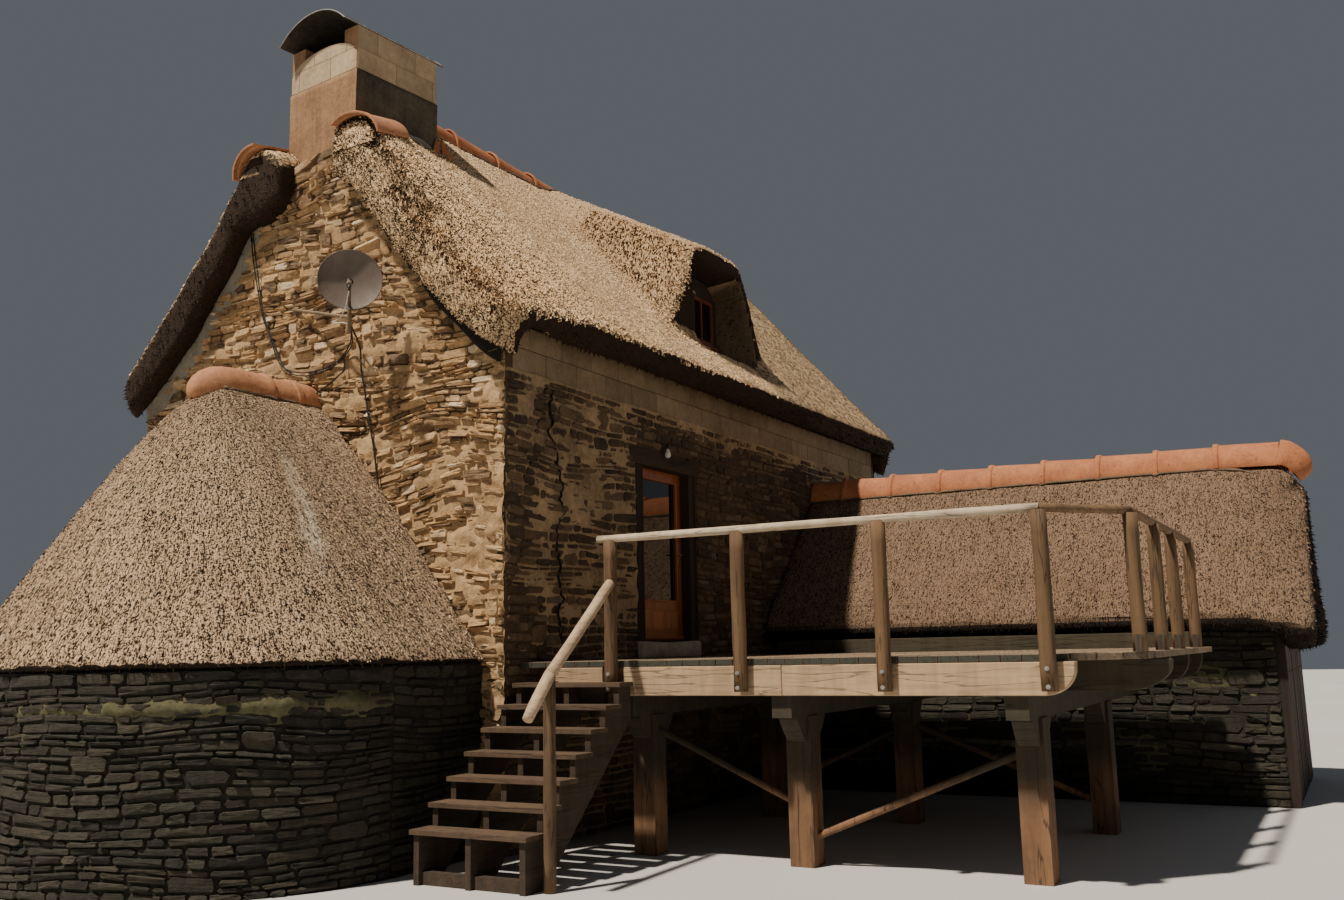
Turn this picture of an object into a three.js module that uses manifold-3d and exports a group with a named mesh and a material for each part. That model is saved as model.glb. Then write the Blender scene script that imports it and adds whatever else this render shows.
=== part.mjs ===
import * as THREE from "three";
import { mergeVertices } from "three/addons/utils/BufferGeometryUtils.js";
import Module from "manifold-3d";

// Thatched stone cottage with a hooded dormer, a round-ended lean-to, a low wing and a timber deck.
// Millimetres, +Z up. The ridge runs along X; the origin is the foot of the near gable wall, on its middle line.

const wasm = await Module();
wasm.setup();

// Driving dimensions
const HALF_WIDTH = 2365; // ridge plane to the outer face of the front or back wall
const WALL = 600; // thickness of the main walls
const GABLE_FACE = -300; // outer face of the near gable
const FAR_FACE = 8838; // outer face of the far gable
const BLOCK_BOTTOM = 4115; // foot of the two block courses under the eaves
const BLOCK_TOP = 4535;
const GAP = 0.3; // left between pieces that are cut by a neighbour

const RIDGE_NEAR = 7536; // unrounded ridge of the thatch at the near and far gable
const RIDGE_FAR = 7793;
const PITCH_NEAR = 1.03; // rise over run of the thatch at the near and far gable
const PITCH_FAR = 1.105;
const THATCH_DEPTH = 496; // vertical thickness of the main thatch
const EAVE_OUT = 2915; // ridge plane to the outer eave edge
const EAVE_IN = 2715; // ridge plane to the inner eave edge
const VERGE = 250; // overhang of the thatch in front of a gable
const VERGE_DROP = 450; // how far the thatch rounds down at a gable
const RIDGE_ROUND = 120; // rounding of the ridge

const DORMER_X = 4000; // middle of the hood
const DORMER_LEFT = 3230;
const DORMER_RIGHT = 4600;

const DOOR_LEFT = 1850; // opening in the front wall
const DOOR_RIGHT = 3100;
const DOOR_TOP = 3530; // underside of the lintel
const LINTEL_TOP = 3710;
const STEP_TOP = 1735;
const FRAME_POST = 145;
const LEAF_BOTTOM = 1742;
const LEAF_TOP = 3524;
const LEAF_THICK = 50;
const FRAME_DEPTH = 150;

const FLOOR_TOP = 1720;
const ATTIC_TOP = 4300;

const CHIMNEY_TURN = (-6.04 * Math.PI) / 180;
const CHIMNEY_X = -300; // near front corner of the stack
const CHIMNEY_Y = -525;
const CHIMNEY_LENGTH = 1053;
const CHIMNEY_WIDTH = 1020;
const CHIMNEY_FOOT = 6520;
const CHIMNEY_TOP = 7860;

const LEANTO_X = -1400; // centre of the round end
const LEANTO_WALL = 2130; // ridge plane to the outer face of the lean-to wall
const LEANTO_SQUASH = 0.8; // the round end is this much shorter than a half circle
const LEANTO_THICK = 450;
const LEANTO_TOP = 1570;

const WING_RIDGE_X = 6510;
const WING_RIDGE = 3730; // unrounded ridge of the wing's thatch
const WING_EAVE = 1820; // ridge plane to the eave edge
const WING_WALL = 1520; // ridge plane to the outer wall face
const WING_THICK = 450;
const WING_END = -7925; // outer face of the boarded end
const WING_DEPTH = 400;

const DECK_TOP = 1566;
const BOARD = 27;
const DECK_LEFT = -96;
const DECK_RIGHT = 4550;
const DECK_FRONT = -7331;
const CHAMFER_X = 483;
const CHAMFER_Y = -6796;
const POST = 200;
const POST_ROWS = [-3385, -4775, -6535];
const POST_FRONT_X = 333;
const POST_BACK_X = 2780;
const RISE = 168;
const GOING = 206;

const group = new THREE.Group();
group.name = "cottage";

// Helpers
function solidOf(geometry) {
  const g = geometry.clone();
  g.deleteAttribute("normal");
  g.deleteAttribute("uv");
  const merged = mergeVertices(g, 1e-3);
  const vertProperties = new Float32Array(merged.attributes.position.array);
  const triVerts = new Uint32Array(merged.index.array);
  const made = new wasm.Manifold(new wasm.Mesh({ numProp: 3, vertProperties, triVerts }));
  if (made.volume() > 0) return made;
  const turned = triVerts.map((v, i) => triVerts[i % 3 === 0 ? i : i % 3 === 1 ? i + 1 : i - 1]);
  return new wasm.Manifold(new wasm.Mesh({ numProp: 3, vertProperties, triVerts: turned }));
}

function geometryOf(solid) {
  const m = solid.getMesh();
  const n = m.numProp;
  const v = new Float32Array(m.numVert * 3);
  for (let i = 0; i < m.numVert; i++) v.set(m.vertProperties.subarray(i * n, i * n + 3), i * 3);
  const g = new THREE.BufferGeometry();
  g.setAttribute("position", new THREE.BufferAttribute(v, 3));
  g.setIndex(new THREE.BufferAttribute(new Uint32Array(m.triVerts), 1));
  g.computeVertexNormals();
  return g;
}

function piece(name, solid, color) {
  const mesh = new THREE.Mesh(geometryOf(solid), new THREE.MeshStandardMaterial({ color, roughness: 0.9 }));
  mesh.name = name;
  group.add(mesh);
}

function box(x0, x1, y0, y1, z0, z1) {
  const g = new THREE.BoxGeometry(x1 - x0, y1 - y0, z1 - z0);
  g.translate((x0 + x1) / 2, (y0 + y1) / 2, (z0 + z1) / 2);
  return solidOf(g);
}

function join(solids) {
  return solids.reduce((a, b) => a.add(b));
}

// A polygon of [x, y] raised from z0 to z1.
function slab(points, z0, z1) {
  const g = new THREE.ExtrudeGeometry(new THREE.Shape(points.map((p) => new THREE.Vector2(p[0], p[1]))), {
    depth: z1 - z0,
    bevelEnabled: false,
  });
  g.translate(0, 0, z0);
  return solidOf(g);
}

// A polygon of [y, z] run along X.
function prismX(points, x0, x1) {
  const g = new THREE.ExtrudeGeometry(new THREE.Shape(points.map((p) => new THREE.Vector2(p[0], p[1]))), {
    depth: x1 - x0,
    bevelEnabled: false,
  });
  const m = new THREE.Matrix4().set(0, 0, 1, x0, 1, 0, 0, 0, 0, 1, 0, 0, 0, 0, 0, 1);
  g.applyMatrix4(m);
  return solidOf(g);
}

// A polygon of [x, z] run along Y.
function prismY(points, y0, y1) {
  const g = new THREE.ExtrudeGeometry(new THREE.Shape(points.map((p) => new THREE.Vector2(-p[0], p[1]))), {
    depth: y1 - y0,
    bevelEnabled: false,
  });
  const m = new THREE.Matrix4().set(-1, 0, 0, 0, 0, 0, 1, y0, 0, 1, 0, 0, 0, 0, 0, 1);
  g.applyMatrix4(m);
  return solidOf(g);
}

function rod(a, b, radius, sides = 12) {
  const from = new THREE.Vector3(...a);
  const to = new THREE.Vector3(...b);
  const along = to.clone().sub(from);
  const g = new THREE.CylinderGeometry(radius, radius, along.length(), sides);
  g.applyQuaternion(new THREE.Quaternion().setFromUnitVectors(new THREE.Vector3(0, 1, 0), along.clone().normalize()));
  g.translate(...from.add(to).multiplyScalar(0.5).toArray());
  return solidOf(g);
}

function ball(p, radius) {
  const g = new THREE.IcosahedronGeometry(radius, 1);
  g.translate(...p);
  return solidOf(g);
}

// A closed skin through stations, each with as many outer as inner points, from one eave to the other.
function loft(stations) {
  const n = stations[0].outer.length;
  const position = [];
  const index = [];
  stations.forEach((s) => {
    s.outer.forEach((p) => position.push(...p));
    s.inner.forEach((p) => position.push(...p));
  });
  const at = (k, side, i) => (k * 2 + side) * n + i;
  const quad = (a, b, c, d) => index.push(a, b, c, a, c, d);
  for (let k = 0; k < stations.length - 1; k++) {
    for (let i = 0; i < n - 1; i++) {
      quad(at(k, 0, i), at(k + 1, 0, i), at(k + 1, 0, i + 1), at(k, 0, i + 1));
      quad(at(k, 1, i + 1), at(k + 1, 1, i + 1), at(k + 1, 1, i), at(k, 1, i));
    }
    quad(at(k, 1, 0), at(k + 1, 1, 0), at(k + 1, 0, 0), at(k, 0, 0));
    quad(at(k, 0, n - 1), at(k + 1, 0, n - 1), at(k + 1, 1, n - 1), at(k, 1, n - 1));
  }
  const last = stations.length - 1;
  for (let i = 0; i < n - 1; i++) {
    quad(at(0, 0, i), at(0, 0, i + 1), at(0, 1, i + 1), at(0, 1, i));
    quad(at(last, 0, i + 1), at(last, 0, i), at(last, 1, i), at(last, 1, i + 1));
  }
  const g = new THREE.BufferGeometry();
  g.setAttribute("position", new THREE.BufferAttribute(new Float32Array(position), 3));
  g.setIndex(index);
  return solidOf(g);
}

// A closed skin through convex rings that have the same number of points.
function skin(rings) {
  const n = rings[0].length;
  const index = [];
  for (let k = 0; k < rings.length - 1; k++) {
    for (let i = 0; i < n; i++) {
      const j = (i + 1) % n;
      index.push(k * n + i, k * n + j, (k + 1) * n + j, k * n + i, (k + 1) * n + j, (k + 1) * n + i);
    }
  }
  const last = (rings.length - 1) * n;
  for (let i = 1; i < n - 1; i++) index.push(0, i + 1, i, last, last + i, last + i + 1);
  const g = new THREE.BufferGeometry();
  g.setAttribute("position", new THREE.BufferAttribute(new Float32Array(rings.flat(2)), 3));
  g.setIndex(index);
  return solidOf(g);
}

const clamp = (v) => Math.min(1, Math.max(0, v));

// Main walls
function ridgeAt(x) {
  return RIDGE_NEAR + ((RIDGE_FAR - RIDGE_NEAR) * (x - GABLE_FACE)) / (FAR_FACE - GABLE_FACE);
}

function pitchAt(x) {
  return PITCH_NEAR + ((PITCH_FAR - PITCH_NEAR) * (x - GABLE_FACE)) / (FAR_FACE - GABLE_FACE);
}

function underside(x, y) {
  return ridgeAt(x) - THATCH_DEPTH - pitchAt(x) * Math.abs(y);
}

function gable(x0, x1, inner, top) {
  const low = Math.min(underside(x0, HALF_WIDTH), underside(x1, HALF_WIDTH)) - 8;
  const peak = Math.min(underside(x0, 0), underside(x1, 0)) - 8;
  const flat = (peak - top) / ((peak - low) / HALF_WIDTH);
  const outline = [
    [-HALF_WIDTH, 0],
    [HALF_WIDTH, 0],
    [HALF_WIDTH, low],
    [flat, top],
    [-flat, top],
    [-HALF_WIDTH, low],
  ];
  const wall = prismX(outline, x0, x1);
  const cuts = [-1, 1].map((side) => {
    const a = side > 0 ? HALF_WIDTH - WALL : -HALF_WIDTH - 1;
    const b = side > 0 ? HALF_WIDTH + 1 : -HALF_WIDTH + WALL;
    return inner > 0 ? box(x0 + 100, x1 + 1, a, b, BLOCK_BOTTOM, low + 50) : box(x0 - 1, x1 - 100, a, b, BLOCK_BOTTOM, low + 50);
  });
  return wall.subtract(cuts[0]).subtract(cuts[1]);
}

function walls() {
  const stone = 0x9a8a68;
  const x0 = GABLE_FACE + WALL;
  const x1 = FAR_FACE - WALL;
  const near = gable(GABLE_FACE, x0, 1, CHIMNEY_FOOT).subtract(vergeTile(1, GAP)).subtract(vergeTile(-1, GAP));
  piece("gable_wall", near, stone);
  piece("far_gable_wall", gable(x1, FAR_FACE, -1, 7150), stone);
  piece("front_wall_left", box(x0, DOOR_LEFT, -HALF_WIDTH, -HALF_WIDTH + WALL, 0, BLOCK_BOTTOM).subtract(lintelCut()), stone);
  piece("front_wall_right", box(DOOR_RIGHT, x1, -HALF_WIDTH, -HALF_WIDTH + WALL, 0, BLOCK_BOTTOM).subtract(lintelCut()), stone);
  piece("front_wall_over_door", box(DOOR_LEFT, DOOR_RIGHT, -HALF_WIDTH, -HALF_WIDTH + WALL, LINTEL_TOP, BLOCK_BOTTOM), stone);
  piece("front_wall_under_door", box(DOOR_LEFT, DOOR_RIGHT, -HALF_WIDTH, -HALF_WIDTH + WALL, 0, DECK_TOP), stone);
  piece("back_wall", box(x0, x1, HALF_WIDTH - WALL, HALF_WIDTH, 0, BLOCK_BOTTOM), stone);
  const block = 0xb5ab94;
  piece("front_block_course", box(GABLE_FACE + 100, FAR_FACE - 100, -HALF_WIDTH, -HALF_WIDTH + WALL, BLOCK_BOTTOM, BLOCK_TOP), block);
  piece("back_block_course", box(GABLE_FACE + 100, FAR_FACE - 100, HALF_WIDTH - WALL, HALF_WIDTH, BLOCK_BOTTOM, BLOCK_TOP), block);
  const wood = 0x6b4a2c;
  piece("upper_floor", box(x0, x1, -HALF_WIDTH + WALL, HALF_WIDTH - WALL, FLOOR_TOP - 180, FLOOR_TOP), wood);
  piece("attic_floor", box(x0, x1, -HALF_WIDTH + WALL, HALF_WIDTH - WALL, ATTIC_TOP - 160, ATTIC_TOP), wood);
}

function lintelCut() {
  return box(DOOR_LEFT - 130, DOOR_RIGHT + 100, -HALF_WIDTH - 1, -HALF_WIDTH + WALL + 1, DOOR_TOP, LINTEL_TOP);
}

// Entrance door
const HINGE_X = DOOR_LEFT + FRAME_POST + 7;
const HINGE_Y = -HALF_WIDTH + FRAME_DEPTH + 8;
const HINGES = [2000, 3250];

function door() {
  const y0 = -HALF_WIDTH;
  const y1 = y0 + FRAME_DEPTH;
  const wood = 0x3a2416;
  piece("door_lintel", box(DOOR_LEFT - 130, DOOR_RIGHT + 100, y0 - 15, y0 + WALL, DOOR_TOP, LINTEL_TOP), wood);
  piece("door_step", box(DOOR_LEFT, DOOR_RIGHT, y0 - 40, y0 + WALL, DECK_TOP, STEP_TOP), 0xc9c0ac);
  const left = DOOR_LEFT + FRAME_POST;
  const right = DOOR_RIGHT - FRAME_POST;
  let frame = join([
    box(DOOR_LEFT, left, y0, y1, STEP_TOP, DOOR_TOP),
    box(right, DOOR_RIGHT, y0, y1, STEP_TOP, DOOR_TOP),
    box(left - 1, right + 1, y0, y1, STEP_TOP, STEP_TOP + 1.5),
  ]);
  HINGES.forEach((z) => {
    frame = join([
      frame,
      rod([HINGE_X, HINGE_Y, z], [HINGE_X, HINGE_Y, z + 40], 8),
      box(left - 25, left, y1 - 2, y1 + 6, z, z + 40),
      box(left - 1, HINGE_X, y1 + 1, y1 + 6, z, z + 40),
    ]);
  });
  piece("door_frame", frame, wood);
  const lx0 = left + 5;
  const lx1 = right - 8;
  const ly0 = y1 - LEAF_THICK;
  const glass = [lx0 + 105, lx1 - 105, LEAF_BOTTOM + 420, LEAF_TOP - 110];
  let leaf = box(lx0, lx1, ly0, y1, LEAF_BOTTOM, LEAF_TOP).subtract(
    box(glass[0], glass[1], ly0 - 1, y1 + 1, glass[2], glass[3]),
  );
  HINGES.forEach((z) => {
    leaf = join([
      leaf,
      rod([HINGE_X, HINGE_Y, z + 40 + GAP], [HINGE_X, HINGE_Y, z + 80], 8),
      box(HINGE_X, HINGE_X + 30, y1 - 2, y1 + 6, z + 40 + GAP, z + 80),
    ]);
  });
  leaf = join([leaf, rod([lx1 - 60, ly0 + 2, 2650], [lx1 - 60, ly0 - 45, 2650], 9), rod([lx1 - 60, ly0 - 38, 2650], [lx1 - 170, ly0 - 38, 2650], 8)]);
  piece("door_leaf", leaf, 0x9a4a18);
  piece("door_pane", box(glass[0] + GAP, glass[1] - GAP, ly0 + 20, ly0 + 26, glass[2] + GAP, glass[3] - GAP), 0x2a3034);
}

// Main thatch
function nearTurn(x) {
  return clamp((400 - x) / 980);
}

function farTurn(x) {
  return clamp((x - (FAR_FACE - 700)) / 980);
}

function hood(x, run) {
  const dx = x - DORMER_X;
  const t = dx < 0 ? clamp((-dx - 450) / 1250) : clamp((dx - 440) / 800);
  return 6320 + 0.53 * run - (dx < 0 ? 1260 : 1230) * t * t * (3 - 2 * t);
}

function softMax(a, b, k) {
  const h = Math.max(k - Math.abs(a - b), 0) / k;
  return Math.max(a, b) + (h * h * k) / 4;
}

function thatchTop(x, y, dormer) {
  const run = HALF_WIDTH - Math.abs(y);
  const base = ridgeAt(x) - pitchAt(x) * Math.sqrt(y * y + RIDGE_ROUND * RIDGE_ROUND);
  const t = clamp((run - 900) / 700);
  const drop = VERGE_DROP * (1 - 0.62 * t * t * (3 - 2 * t)) * (nearTurn(x) ** 2.2 + farTurn(x) ** 2.2);
  if (!dormer) return base - drop;
  return Math.min(softMax(base, hood(x, run), 90), ridgeAt(x) - pitchAt(x) * RIDGE_ROUND) - drop;
}

const ACROSS = [2915, 2750, 2560, 2372, 2358, 2200, 2000, 1750, 1500, 1200, 900, 600, 350, 180, 80, 0, -80, -200, -600, -1200, -1800, -2400, -2750, -2915];

function thatchStation(x, lip) {
  const turn = Math.max(clamp((300 - x) / 850), clamp((x - (FAR_FACE - 600)) / 850));
  const eave = EAVE_OUT - 450 * turn ** 2;
  const inner = EAVE_IN - 330 * turn ** 2;
  const station = { outer: [], inner: [] };
  ACROSS.forEach((a, i) => {
    const y = -a * (Math.abs(a) > 2380 ? (2380 + ((Math.abs(a) - 2380) * (eave - 2380)) / 535) / Math.abs(a) : 1);
    const w = -a * (inner / EAVE_OUT);
    station.outer.push([x, y, thatchTop(x, y, i > 3 && i < 16)]);
    const eaveLift = 86 * clamp((Math.abs(w) - HALF_WIDTH) / 350);
    const under = underside(x, w) + eaveLift;
    const run = HALF_WIDTH - Math.abs(w);
    const lower = Math.min(4250 + 0.7 * run + 0.00025 * run * run, thatchTop(x, w, false) - 90);
    station.inner.push([x, w, lip ? lower : under]);
  });
  return station;
}

function thatch() {
  const stations = [];
  [-VERGE, -215, -150, -70].forEach((d) => stations.push(thatchStation(GABLE_FACE + d, true)));
  stations.push(thatchStation(GABLE_FACE - 1.5, true));
  stations.push(thatchStation(GABLE_FACE - 1, false));
  [-180, 0, 200, 400, 900, 1500, 1900].forEach((x) => stations.push(thatchStation(x, false)));
  for (let x = 2150; x <= 3550; x += 200) stations.push(thatchStation(x, false));
  [4000, 4440, 4560, 4680, 4800, 4920, 5060, 5250].forEach((x) => stations.push(thatchStation(x, false)));
  [5700, 6500, 7300, 8138, 8400, 8650].forEach((x) => stations.push(thatchStation(x, false)));
  stations.push(thatchStation(FAR_FACE + 1, false));
  stations.push(thatchStation(FAR_FACE + 1.5, true));
  [70, 150, 215, VERGE].forEach((d) => stations.push(thatchStation(FAR_FACE + d, true)));
  let roof = loft(stations);
  roof = roof.subtract(turned(-700, CHIMNEY_LENGTH + 1, -1, CHIMNEY_WIDTH + 1, 5000, 9000));
  roof = roof.subtract(dormerHole());
  roof = roof.subtract(ridgeTiles(GAP)).subtract(vergeTile(1, GAP)).subtract(vergeTile(-1, GAP));
  roof = roof.subtract(vergeClearing(1)).subtract(vergeClearing(-1));
  const bodies = roof.decompose().sort((a, b) => b.volume() - a.volume());
  piece("main_thatch", bodies[0], 0xa8987a);
}

function dormerOutline(gap) {
  return [
    [DORMER_LEFT + gap, 5270 + gap],
    [DORMER_RIGHT - gap, 5270 + gap],
    [DORMER_RIGHT - gap, 5940 - gap],
    [DORMER_RIGHT - 220 - gap, 6130 - gap],
    [DORMER_LEFT + 220 + gap, 6130 - gap],
    [DORMER_LEFT + gap, 5940 - gap],
  ];
}

// The splayed way through the thatch, from the front of the hood to the attic.
function dormerHole() {
  const mouth = [[3260, 5050], [4850, 5050], [4630, 5900], [4480, 6190], [3380, 6180], [3275, 6000]];
  const rings = [
    mouth.map(([x, z]) => [x, -2700, z]),
    mouth.map(([x, z]) => [x, -2350, z]),
    dormerOutline(0).map(([x, z]) => [x, -1915, z]),
    dormerOutline(0).map(([x, z]) => [x, -700, z]),
  ];
  return skin(rings);
}

function dormer() {
  const y0 = -1915;
  let frame = prismY(dormerOutline(GAP), y0, y0 + 70);
  const middle = (DORMER_LEFT + DORMER_RIGHT) / 2;
  const low = 5350;
  frame = frame.subtract(box(DORMER_LEFT + 90, middle - 45, y0 - 1, y0 + 71, low, 5920));
  frame = frame.subtract(box(middle + 45, DORMER_RIGHT - 90, y0 - 1, y0 + 71, low, 5920));
  piece("dormer_frame", frame, 0x4a2018);
  piece("dormer_pane_left", box(DORMER_LEFT + 90 + GAP, middle - 45 - GAP, y0 + 30, y0 + 36, low + GAP, 5920 - GAP), 0x2a3034);
  piece("dormer_pane_right", box(middle + 45 + GAP, DORMER_RIGHT - 90 - GAP, y0 + 30, y0 + 36, low + GAP, 5920 - GAP), 0x2a3034);
}

// Terracotta tiles: a run of half-round tiles with a collar at each joint, as one body.
function tileSection(center, along, half, height, grow) {
  const side = new THREE.Vector3(0, 0, 1).cross(along).normalize();
  const up = along.clone().cross(side).normalize();
  const outer = [];
  const inner = [];
  const steps = 10;
  for (let i = 0; i <= steps; i++) {
    const a = (Math.PI * i) / steps;
    const p = center
      .clone()
      .addScaledVector(side, -Math.cos(a) * (half + grow))
      .addScaledVector(up, Math.sin(a) * (height + grow));
    const q = center
      .clone()
      .addScaledVector(side, -Math.cos(a) * (half + grow))
      .addScaledVector(up, -grow * 0.02 - 0.01 * Math.sin(a));
    outer.push(p.toArray());
    inner.push(q.toArray());
  }
  outer[0] = center.clone().addScaledVector(side, -(half + grow)).addScaledVector(up, 12).toArray();
  outer[steps] = center.clone().addScaledVector(side, half + grow).addScaledVector(up, 12).toArray();
  return { outer, inner };
}

function tileRun(path, half, height, gap) {
  const stations = path.map(([x, y, z, grow, size = 1], i) => {
    const a = path[Math.max(0, i - 1)];
    const b = path[Math.min(path.length - 1, i + 1)];
    const along = new THREE.Vector3(b[0] - a[0], b[1] - a[1], b[2] - a[2]).normalize();
    return tileSection(new THREE.Vector3(x, y, z - gap), along, half * size, height * size + gap, grow + gap);
  });
  return loft(stations);
}

function collarPath(start, end, step, z, axis, fixed) {
  const path = [];
  const sign = Math.sign(end - start);
  const count = Math.round(Math.abs(end - start) / step);
  for (let i = 0; i < count; i++) {
    const s = start + sign * step * i;
    [[0, 16], [55, 16], [58, 0]].forEach(([d, grow]) => path.push([s + sign * d, grow]));
    path.push([s + sign * (step - 2), 0]);
  }
  return path.map(([s, grow]) => (axis === "x" ? [s, fixed, z, grow] : [fixed, s, z, grow]));
}

function ridgeTiles(gap) {
  const path = collarPath(870, 870 + 4 * 760, 760, 7330, "x", 0);
  path[0][0] -= gap;
  path[path.length - 1][0] += gap;
  return tileRun(path, 190, 260, gap);
}

function vergeTile(side, gap) {
  const y = side > 0 ? 560 : -720;
  const z = side > 0 ? 6440 : 6500;
  const half = side > 0 ? 330 : 340;
  const height = side > 0 ? 290 : 250;
  return tileRun([[-565 - gap, y, z, 12], [-505, y, z + 13, 12], [-501, y, z + 14, 0], [-110 + gap, y, z + 100, 0]], half, height, gap);
}

// The thatch doesn't stand up between a verge tile and the chimney.
function vergeClearing(side) {
  return side > 0 ? box(-600, -110 + GAP, 400, 620, 6590, 7300) : box(-600, -110 + GAP, -780, -400, 6640, 7300);
}

function tiles() {
  const clay = 0xb5633c;
  piece("ridge_tiles", ridgeTiles(0), clay);
  const stack = turned(-700, CHIMNEY_LENGTH, -2, CHIMNEY_WIDTH + 2, 5000, 9000);
  piece("verge_tile_front", vergeTile(-1, 0).subtract(stack), clay);
  piece("verge_tile_back", vergeTile(1, 0).subtract(stack), clay);
}

// Chimney, in its own turned axes: a runs back from the gable face, b across.
function turned(a0, a1, b0, b1, z0, z1) {
  return turn(box(a0, a1, b0, b1, z0, z1));
}

function turn(solid) {
  const g = geometryOf(solid);
  g.rotateZ(CHIMNEY_TURN);
  g.translate(CHIMNEY_X, CHIMNEY_Y, 0);
  return solidOf(g);
}

function chimney() {
  const end = [[0, 7400], [CHIMNEY_WIDTH, 7400], [CHIMNEY_WIDTH, 7560]];
  for (let i = 1; i < 8; i++) {
    const a = (Math.PI * i) / 8;
    end.push([CHIMNEY_WIDTH / 2 + (CHIMNEY_WIDTH / 2) * Math.cos(a), 7560 + 210 * Math.sin(a)]);
  }
  end.push([0, 7660]);
  const stack = join([
    box(0, CHIMNEY_LENGTH, 0, CHIMNEY_WIDTH, CHIMNEY_FOOT, 7400),
    box(0, CHIMNEY_LENGTH, 0, 200, 7300, CHIMNEY_TOP),
    box(0, CHIMNEY_LENGTH, CHIMNEY_WIDTH - 200, CHIMNEY_WIDTH, 7300, CHIMNEY_TOP),
    prismX(end, 0, 200),
    prismX(end, CHIMNEY_LENGTH - 200, CHIMNEY_LENGTH),
  ]).subtract(box(200, CHIMNEY_LENGTH - 200, 200, CHIMNEY_WIDTH - 200, CHIMNEY_FOOT + 300, 9000));
  piece("chimney_stack", turn(stack), 0xa89a80);
  const rise = 215;
  const half = 510;
  const radius = (half * half + rise * rise) / (2 * rise);
  const outline = [];
  const reach = Math.asin(half / radius);
  const seat = CHIMNEY_TOP + 10 * Math.cos(reach) + GAP;
  for (let i = 0; i <= 14; i++) {
    const a = reach - (2 * reach * i) / 14;
    outline.push([half - radius * Math.sin(-a), seat + rise - radius + radius * Math.cos(a)]);
  }
  for (let i = 14; i >= 0; i--) {
    const a = reach - (2 * reach * i) / 14;
    outline.push([half + (radius - 10) * Math.sin(a), seat + rise - radius + (radius - 10) * Math.cos(a)]);
  }
  piece("chimney_cap", turn(prismX(outline, -170, CHIMNEY_LENGTH + 100)), 0x2a2a2a);
}

// Lean-to
const LEANTO_PROFILE = [[0, 4115], [65, 4095], [358, 3850], [650, 3545], [930, 3230], [1178, 2935], [1537, 2468], [1880, 2015], [2140, 1690], [2208, 1590]];
const LEANTO_UNDER = [[0, 3640], [60, 3625], [330, 3420], [600, 3130], [860, 2830], [1090, 2560], [1400, 2200], [1650, 1890], [1800, 1700], [1900, LEANTO_TOP]];

function leanto() {
  const stone = 0x7d705a;
  piece("leanto_wall_front", box(LEANTO_X, GABLE_FACE, -LEANTO_WALL, -LEANTO_WALL + LEANTO_THICK, 0, LEANTO_TOP), stone);
  piece("leanto_wall_back", box(LEANTO_X, GABLE_FACE, LEANTO_WALL - LEANTO_THICK, LEANTO_WALL, 0, LEANTO_TOP), stone);
  const at = (step, radius) => {
    const a = (Math.PI * step) / 16;
    const along = radius - LEANTO_WALL + LEANTO_WALL * LEANTO_SQUASH;
    return [LEANTO_X - along * Math.sin(a), -radius * Math.cos(a)].map((v) => Math.round(v * 8) / 8);
  };
  for (let k = 0; k < 4; k++) {
    const ring = [];
    for (let i = 0; i <= 4; i++) ring.push(at(4 * k + i, LEANTO_WALL));
    for (let i = 4; i >= 0; i--) ring.push(at(4 * k + i, LEANTO_WALL - LEANTO_THICK));
    piece("leanto_arc_" + (k + 1), slab(ring.reverse(), 0, LEANTO_TOP), stone);
  }
  const cross = (sign) => [LEANTO_PROFILE, LEANTO_UNDER].map((list) => list.map(([r, z]) => [sign * r, z]));
  const stations = [GABLE_FACE - 0.5, -850, LEANTO_X].map((x) => {
    const [fo, fi] = cross(-1);
    const [bo, bi] = cross(1);
    return {
      outer: [...fo.slice(1).reverse(), ...bo].map(([y, z]) => [x, y, z]),
      inner: [...fi.slice(1).reverse(), ...bi].map(([y, z]) => [x, y, z]),
    };
  });
  const straight = loft(stations);
  const points = [...LEANTO_PROFILE, ...[...LEANTO_UNDER].reverse()].map(([r, z]) => new THREE.Vector2(r, z));
  const g = new THREE.LatheGeometry(points.reverse(), 32);
  g.rotateX(Math.PI / 2);
  g.scale(LEANTO_SQUASH, 1, 1);
  g.translate(LEANTO_X, 0, 0);
  const round = solidOf(g).subtract(box(LEANTO_X, LEANTO_X + 3000, -3000, 3000, 0, 6000));
  const roof = straight.add(round).subtract(leantoTiles(GAP));
  const bodies = roof.decompose().sort((a, b) => b.volume() - a.volume());
  piece("leanto_thatch", bodies[0], 0x9c8a6c);
  piece("leanto_tiles", leantoTiles(0), 0xb5633c);
}

function leantoTiles(gap) {
  const path = [
    [GABLE_FACE - 0.5 + (gap ? 5 : 0), 0, 3990, 0],
    [-870, 0, 3990, 0],
    [-874, 0, 3990, 14],
    [-935, 0, 3990, 14],
    [-939, 0, 3990, 0],
    [-1340, 0, 3988, 0],
    [-1430, 0, 3975, 0, 0.94],
    [-1520, 0, 3950, 0, 0.82],
    [-1590, 0, 3920, 0, 0.6],
    [-1630 - gap, 0, 3890 - gap, 0, 0.3],
  ];
  return tileRun(path, 190, 240, gap);
}

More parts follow.
